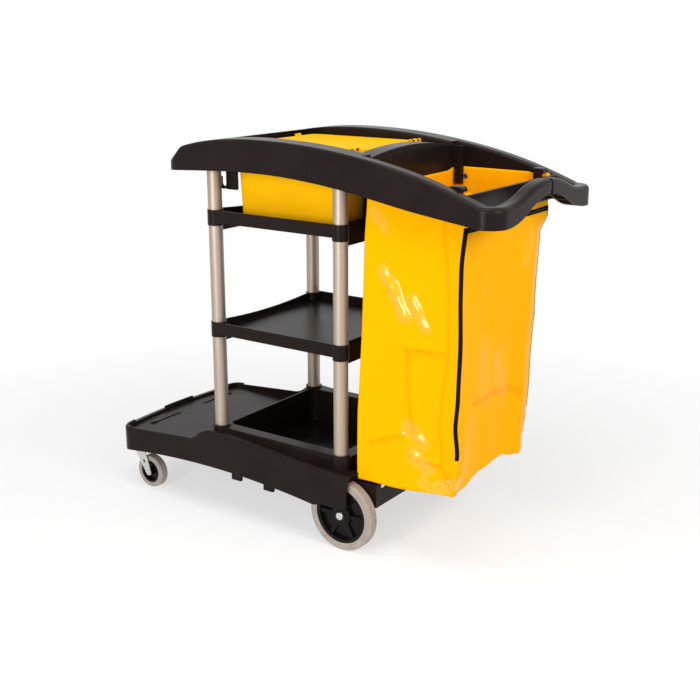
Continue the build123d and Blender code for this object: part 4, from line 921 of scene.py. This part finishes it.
# %% [markdown]
# Teeth and stitches are small blocks set in a row. Each block is placed on the plain box, and hangs with
# it: two steps on the box, one along the row and one across it, hang as well and give the block its
# direction. One bevel at the end rounds all of them.

# %% Blocks in a row
STEP = 0.001
UP = Vector((0.0, 0.0, 1.0))
ALONG_X = Vector((1.0, 0.0, 0.0))
ALONG_Y = Vector((0.0, 1.0, 0.0))


def set_block(bm, place, lengthwise, crosswise, size, lift):
    """Hang one block on the bag: its place and its two directions are given on the plain box."""
    at = hang(place)
    run = (hang(place + STEP * lengthwise) - at).normalized()
    out = run.cross(hang(place + STEP * crosswise) - at).normalized()
    across = out.cross(run)
    turn = Matrix((run, across, out)).transposed().to_4x4()
    stretch = Matrix.Diagonal((*size, 1.0))
    bmesh.ops.create_cube(bm, size=1.0, matrix=Matrix.Translation(at + lift * out) @ turn @ stretch)


def evenly(start, end, pitch):
    """The middles of equal steps from start to end."""
    count = round((end - start) / pitch)
    return [start + (end - start) * (step + 0.5) / count for step in range(count)]


def round_blocks(bm, offset):
    bmesh.ops.bevel(
        bm, geom=bm.edges[:], offset=offset, affect="EDGES", segments=1, profile=0.5, material=-1)


rear_run = (CORNER_R - BAG_HALF, BAG_HALF - CORNER_R)
side_run = (BAG_FRONT_X + CORNER_R, BAG_REAR_X - CORNER_R)
print("rows:", round(rear_run[1] - rear_run[0], 3), "and", round(side_run[1] - side_run[0], 3), "m long")

# %% [markdown]
# The teeth stand on the middle of the tape: across the top, and down both rear edges, where each row
# keeps to one turn of the rounded edge. An array along a curve would space them too, but the curve would
# first have to be fitted to the hung tape.

# %% Zip teeth
TOOTH_PITCH = 0.0026
TOOTH_SIZE = (0.0017, 0.0044, 0.0011)
TOOTH_ROUND = 0.0003
tooth_lift = STRIP_GAP + STRIP_T + TOOTH_SIZE[2] / 4

teeth_mesh = bmesh.new()
for y in evenly(*rear_run, TOOTH_PITCH):
    middle = Vector((BAG_REAR_X, y, tape_hi.z - TAPE_W / 2))
    set_block(teeth_mesh, middle, ALONG_Y, UP, TOOTH_SIZE, tooth_lift)
for side, turn_start in ((-1, NEAR_TAPE_TURN), (1, FAR_TAPE_TURN)):
    turn = (turn_start + TAPE_SHARE / 2 + 1) * math.pi / 4
    arc_x = BAG_REAR_X - CORNER_R + CORNER_R * math.sin(turn)
    arc_y = side * (BAG_HALF - CORNER_R + CORNER_R * math.cos(turn))
    round_corner = Vector((side * math.cos(turn), -math.sin(turn), 0.0))
    for z in evenly(tape_lo.z + TAPE_W / 2, tape_hi.z - TAPE_W, TOOTH_PITCH):
        set_block(teeth_mesh, Vector((arc_x, arc_y, z)), UP, round_corner, TOOTH_SIZE, tooth_lift)
round_blocks(teeth_mesh, TOOTH_ROUND)
zip_teeth = new_piece("zip_teeth", teeth_mesh, tooth_plastic, "zip_fabric", smooth=False)
print("zip teeth:", len(zip_teeth.data.polygons), "faces")

# %% [markdown]
# The stitches of the hem run round the mouth, on all four panels. Each is one block of thread, because a
# bump in the finish would draw them flat.

# %% Stitches
STITCH_PITCH = 0.007
STITCH_SIZE = (0.0046, 0.0009, 0.0007)
STITCH_ROUND = 0.0002
stitch_lift = STRIP_GAP + STRIP_T
stitch_z = BAG_Z1 - STITCH_LINE

stitch_mesh = bmesh.new()
for y in evenly(*rear_run, STITCH_PITCH):
    for x, run in ((BAG_REAR_X, ALONG_Y), (BAG_FRONT_X, -ALONG_Y)):
        set_block(stitch_mesh, Vector((x, y, stitch_z)), run, UP, STITCH_SIZE, stitch_lift)
for x in evenly(*side_run, STITCH_PITCH):
    for y, run in ((-BAG_HALF, ALONG_X), (BAG_HALF, -ALONG_X)):
        set_block(stitch_mesh, Vector((x, y, stitch_z)), run, UP, STITCH_SIZE, stitch_lift)
round_blocks(stitch_mesh, STITCH_ROUND)
hem_stitches = new_piece("hem_stitches", stitch_mesh, stitch_thread, "yellow_vinyl", smooth=False)
print("stitches:", len(hem_stitches.data.polygons), "faces")

# %% [markdown]
# Beside each hook a dark press stud goes through the sheet. Half of the stud's outline is drawn once,
# mirrored to the other side of the sheet and spun a full turn. A cylinder would do from far away, but
# its rim would not catch the light.

# %% Press studs
STUD_DROP = 0.026
STUD_STEP = 0.022
STUD_STEPS_ROUND = 24
TOUCHING = 1e-6
HALF_OUTLINE = [
    (0.0, 0.0016), (0.0032, 0.0016), (0.0040, 0.0008),
    (0.0050, 0.0022), (0.0066, 0.0020), (0.0075, 0.0)]


def spun(outline, place, axis, steps):
    """Full turn of an outline of (radius, height) round an axis through a place."""
    bm = bmesh.new()
    side = axis.orthogonal().normalized()
    points = [bm.verts.new(place + radius * side + height * axis) for radius, height in outline]
    drawn = [bm.edges.new(pair) for pair in zip(points, points[1:])]
    bmesh.ops.spin(
        bm, geom=points + drawn, cent=place, axis=axis, angle=2 * math.pi, steps=steps, use_merge=True)
    bmesh.ops.remove_doubles(bm, verts=bm.verts[:], dist=TOUCHING)
    bmesh.ops.recalc_face_normals(bm, faces=bm.faces[:])
    return bm


stud_outline = HALF_OUTLINE + [(radius, -height) for radius, height in reversed(HALF_OUTLINE[:-1])]
stud_places = [
    (hook + step, side * BAG_HALF, BAG_Z1 - STUD_DROP)
    for hook, step in zip(HOOK_X, (STUD_STEP, -STUD_STEP)) for side in (-1, 1)]
for number, place in enumerate(stud_places, start=1):
    outward = math.copysign(1.0, place[1])
    in_sheet = hang(place) - Vector((0.0, outward * SHEET_T / 2, 0.0))
    stud_mesh = spun(stud_outline, in_sheet, Vector((0.0, outward, 0.0)), STUD_STEPS_ROUND)
    new_piece(f"press_stud_{number}", stud_mesh, pull_metal, "zip_metal")

# %% [markdown]
# The body of a zip slider is a rounded block that hugs the teeth. A ring of wire, spun half a turn, is
# the bridge that the pull hangs from. A torus would do as well, but half of it would have to be cut away.

# %% Slider bodies
BODY_T = 0.0036
BODY_H = 0.015
BODY_ROUND = 0.0014
BRIDGE_R = 0.0038
BRIDGE_WIRE_R = 0.0008
BRIDGE_SINK = 0.0004


def slider_body(middle, size):
    """Rounded block with a bridge that the pull hangs from."""
    bm = bmesh.new()
    bmesh.ops.create_cube(bm, size=1.0, matrix=Matrix.LocRotScale(middle, None, size))
    bmesh.ops.bevel(
        bm, geom=bm.edges[:], offset=BODY_ROUND, affect="EDGES", segments=3, profile=0.5, material=-1)
    bridge = middle + Vector((size.x / 2 - BRIDGE_SINK, 0.0, 0.0))
    turn = Matrix.Translation(bridge + BRIDGE_R * UP) @ Matrix.Rotation(math.pi / 2, 4, "Y")
    ring = bmesh.ops.create_circle(bm, segments=10, radius=BRIDGE_WIRE_R, matrix=turn)["verts"]
    ring_edges = list({edge for vert in ring for edge in vert.link_edges})
    bmesh.ops.spin(
        bm, geom=ring + ring_edges, cent=bridge, axis=ALONG_Y, angle=math.pi, steps=12)
    bmesh.ops.recalc_face_normals(bm, faces=bm.faces[:])
    return bm


print("slider body:", 1000 * BODY_T, "mm thick")

# %% [markdown]
# The pull is a long loop: two circles whose lower halves are moved down, joined by bridging and then
# given thickness. A box with a hole would need a Boolean for the same result.

# %% Slider pulls
PULL_OUTER_R = 0.0032
PULL_HOLE_R = 0.0018
PULL_DROP = 0.014
PULL_T = 0.0011
PULL_ROUND = 0.0003
PULL_GAP = 0.0008
RIM_ANGLE = 1.2


def long_loop(bm, radius, top):
    """Circle in the plane of the rear panel, with its lower half moved down."""
    turn = Matrix.Translation(top) @ Matrix.Rotation(math.pi / 2, 4, "Y")
    made = bmesh.ops.create_circle(bm, segments=24, radius=radius, matrix=turn)["verts"]
    for vert in made:
        if vert.co.z < top.z - TOUCHING:
            vert.co.z -= PULL_DROP
    return {edge for vert in made for edge in vert.link_edges}


def slider_pull(top):
    """Flat loop that hangs from a place on the bridge."""
    bm = bmesh.new()
    outer = long_loop(bm, PULL_OUTER_R, top)
    hole = long_loop(bm, PULL_HOLE_R, top)
    flat = bmesh.ops.bridge_loops(bm, edges=list(outer | hole))["faces"]
    raised = bmesh.ops.extrude_face_region(bm, geom=flat)["geom"]
    for item in raised:
        if isinstance(item, bmesh.types.BMVert):
            item.co.x += PULL_T
    bmesh.ops.recalc_face_normals(bm, faces=bm.faces[:])
    rims = [e for e in bm.edges if len(e.link_faces) == 2 and e.calc_face_angle() > RIM_ANGLE]
    bmesh.ops.bevel(
        bm, geom=rims, offset=PULL_ROUND, affect="EDGES", segments=2, profile=0.5, material=-1)
    return bm


print("slider pull:", 1000 * PULL_T, "mm thick")

# %% [markdown]
# Each slider has a body of its own in the frame, and a joint that runs along the tape. Its block and its
# pull ride on that body, in the place of the CAD solid that they replace. Parenting them to an empty
# would move them as well, but the frame would not know them.

# %% Both sliders
for side in ("left", "right"):
    lo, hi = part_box(f"{side}_zip_slider")
    body_size = Vector((BODY_T, hi.y - lo.y, BODY_H))
    body_middle = Vector((lo.x + BODY_T / 2, (lo.y + hi.y) / 2, tape_hi.z - TAPE_W / 2))
    body_mesh = slider_body(body_middle, body_size)
    body = new_piece(f"{side}_slider_body", body_mesh, pull_metal, "zip_metal", f"{side}_slider")
    pull_mesh = slider_pull(body_middle + (BODY_T / 2 + PULL_GAP) * ALONG_X)
    pull = new_piece(f"{side}_slider_pull", pull_mesh, pull_metal, "zip_metal", f"{side}_slider")
    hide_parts(f"{side}_zip_slider")
    print(side, "slider:", len(body.data.polygons) + len(pull.data.polygons), "faces")

# %% [markdown]

# %% [markdown]
# The surround is a white world. Camera, glossy and transmission rays see it as white, and the other rays
# see a softer grey, which is the fill light. A backdrop of real walls would hide other views of the cart.

# %% Surround
FILL_LEVEL = 0.45
WHITE = (1.0, 1.0, 1.0, 1.0)

world = bpy.data.worlds.new("studio")
bpy.context.scene.world = world
world.use_nodes = True
sky = Tree(world.node_tree)
seen = sky.node("ShaderNodeLightPath", {}, {}, "Is Camera Ray")
mirrored = sky.node("ShaderNodeLightPath", {}, {}, "Is Glossy Ray")
through = sky.node("ShaderNodeLightPath", {}, {}, "Is Transmission Ray")
white = sky.node("ShaderNodeClamp", {}, {"Value": seen + mirrored + through})
backdrop = world.node_tree.nodes["Background"]
sky.feed(backdrop.inputs["Color"], WHITE)
sky.feed(backdrop.inputs["Strength"], FILL_LEVEL + white * (1 - FILL_LEVEL))
print("surround:", world.name)

# %% [markdown]
# The floor is a pale disc that keeps the cart's shadow. Away from the cart it fades into a plain white
# glow, so its rim can't be told from the surround.

# %% Floor
FLOOR_R = 4.0
FLOOR_GREY = (0.86, 0.86, 0.86)
FADE_FROM = 0.7
FADE_TO = 2.2
LEAST_GLOW = 0.6

floor_bm = bmesh.new()
bmesh.ops.create_circle(floor_bm, cap_ends=True, segments=96, radius=FLOOR_R)
floor_mesh = bpy.data.meshes.new("studio_floor")
floor_bm.to_mesh(floor_mesh)
floor_bm.free()
floor = bpy.data.objects.new("studio_floor", floor_mesh)
bpy.context.scene.collection.objects.link(floor)
floor_finish = Finish("studio_floor", FLOOR_GREY, Roughness=0.9)
reach = floor_finish.node(
    "ShaderNodeVectorMath", {"operation": "LENGTH"}, {0: floor_finish.place()}, "Value")
fade = floor_finish.node(
    "ShaderNodeMapRange", {"interpolation_type": "SMOOTHSTEP"},
    {"Value": reach, "From Min": FADE_FROM, "From Max": FADE_TO, "To Min": LEAST_GLOW, "To Max": 1.0})
glow = floor_finish.node("ShaderNodeEmission", {}, {"Color": WHITE, "Strength": 1.0})
matt = Amount(floor_finish, floor_finish.shader.outputs["BSDF"])
mixed = floor_finish.node("ShaderNodeMixShader", {}, {"Fac": fade, 1: matt, 2: glow})
floor_finish.feed(floor_finish.tree.nodes["Material Output"].inputs["Surface"], mixed)
floor.data.materials.append(floor_finish.material)
print("floor:", 2 * FLOOR_R, "m across")

# %% [markdown]
# Three lamps stand for softboxes. The tall narrow one at the near side makes the streaks on the folds,
# one behind the cart lights the rear panel, and one above lights the tops. Small lamps would leave hard
# points of light on the vinyl and hard shadows on the floor.


# %% Lamps
def softbox(name, place, aim, width, height, power):
    """Area lamp that faces a point, with its height upright."""
    lamp = bpy.data.lights.new(name, "AREA")
    lamp.shape = "RECTANGLE"
    lamp.size = width
    lamp.size_y = height
    lamp.energy = power
    box = bpy.data.objects.new(name, lamp)
    bpy.context.scene.collection.objects.link(box)
    box.location = place
    box.rotation_euler = (Vector(aim) - Vector(place)).to_track_quat("-Z", "Y").to_euler()
    return box


lamps = [
    softbox("key_softbox", (0.2, -3.4, 1.3), aim=(0.2, 0.0, 0.8), width=0.6, height=1.9, power=70.0),
    softbox("fill_softbox", (2.9, -0.6, 2.0), aim=(0.2, 0.0, 0.6), width=1.6, height=1.6, power=52.0),
    softbox("top_softbox", (0.3, -0.9, 3.2), aim=(0.1, 0.0, 0.8), width=1.8, height=1.8, power=42.0),
]
print("lamps:", len(lamps))

# %% [markdown]
# The camera stands to the rear left of the cart, above its handle, and looks slightly down. Its numbers
# were fitted to straight edges of the real cart, because a camera that is placed by eye seldom matches.

# %% Camera
CAMERA_PLACE = Vector((1.8308, -2.5527, 1.3857))
CAMERA_YAW = math.radians(-34.96)
CAMERA_PITCH = math.radians(16.1)
FOCAL_PIXELS = 1118.9
IMAGE_PIXELS = 700
SENSOR_MM = 36.0

look = Vector((
    math.sin(CAMERA_YAW) * math.cos(CAMERA_PITCH),
    math.cos(CAMERA_YAW) * math.cos(CAMERA_PITCH),
    -math.sin(CAMERA_PITCH)))
lens = bpy.data.cameras.new("studio_camera")
lens.sensor_width = SENSOR_MM
lens.lens = FOCAL_PIXELS / IMAGE_PIXELS * SENSOR_MM
camera = bpy.data.objects.new("studio_camera", lens)
camera.location = CAMERA_PLACE
camera.rotation_euler = look.to_track_quat("-Z", "Y").to_euler()
bpy.context.scene.collection.objects.link(camera)
bpy.context.scene.camera = camera
bpy.context.scene.view_settings.view_transform = "Standard"
print("lens:", round(lens.lens, 2), "mm")
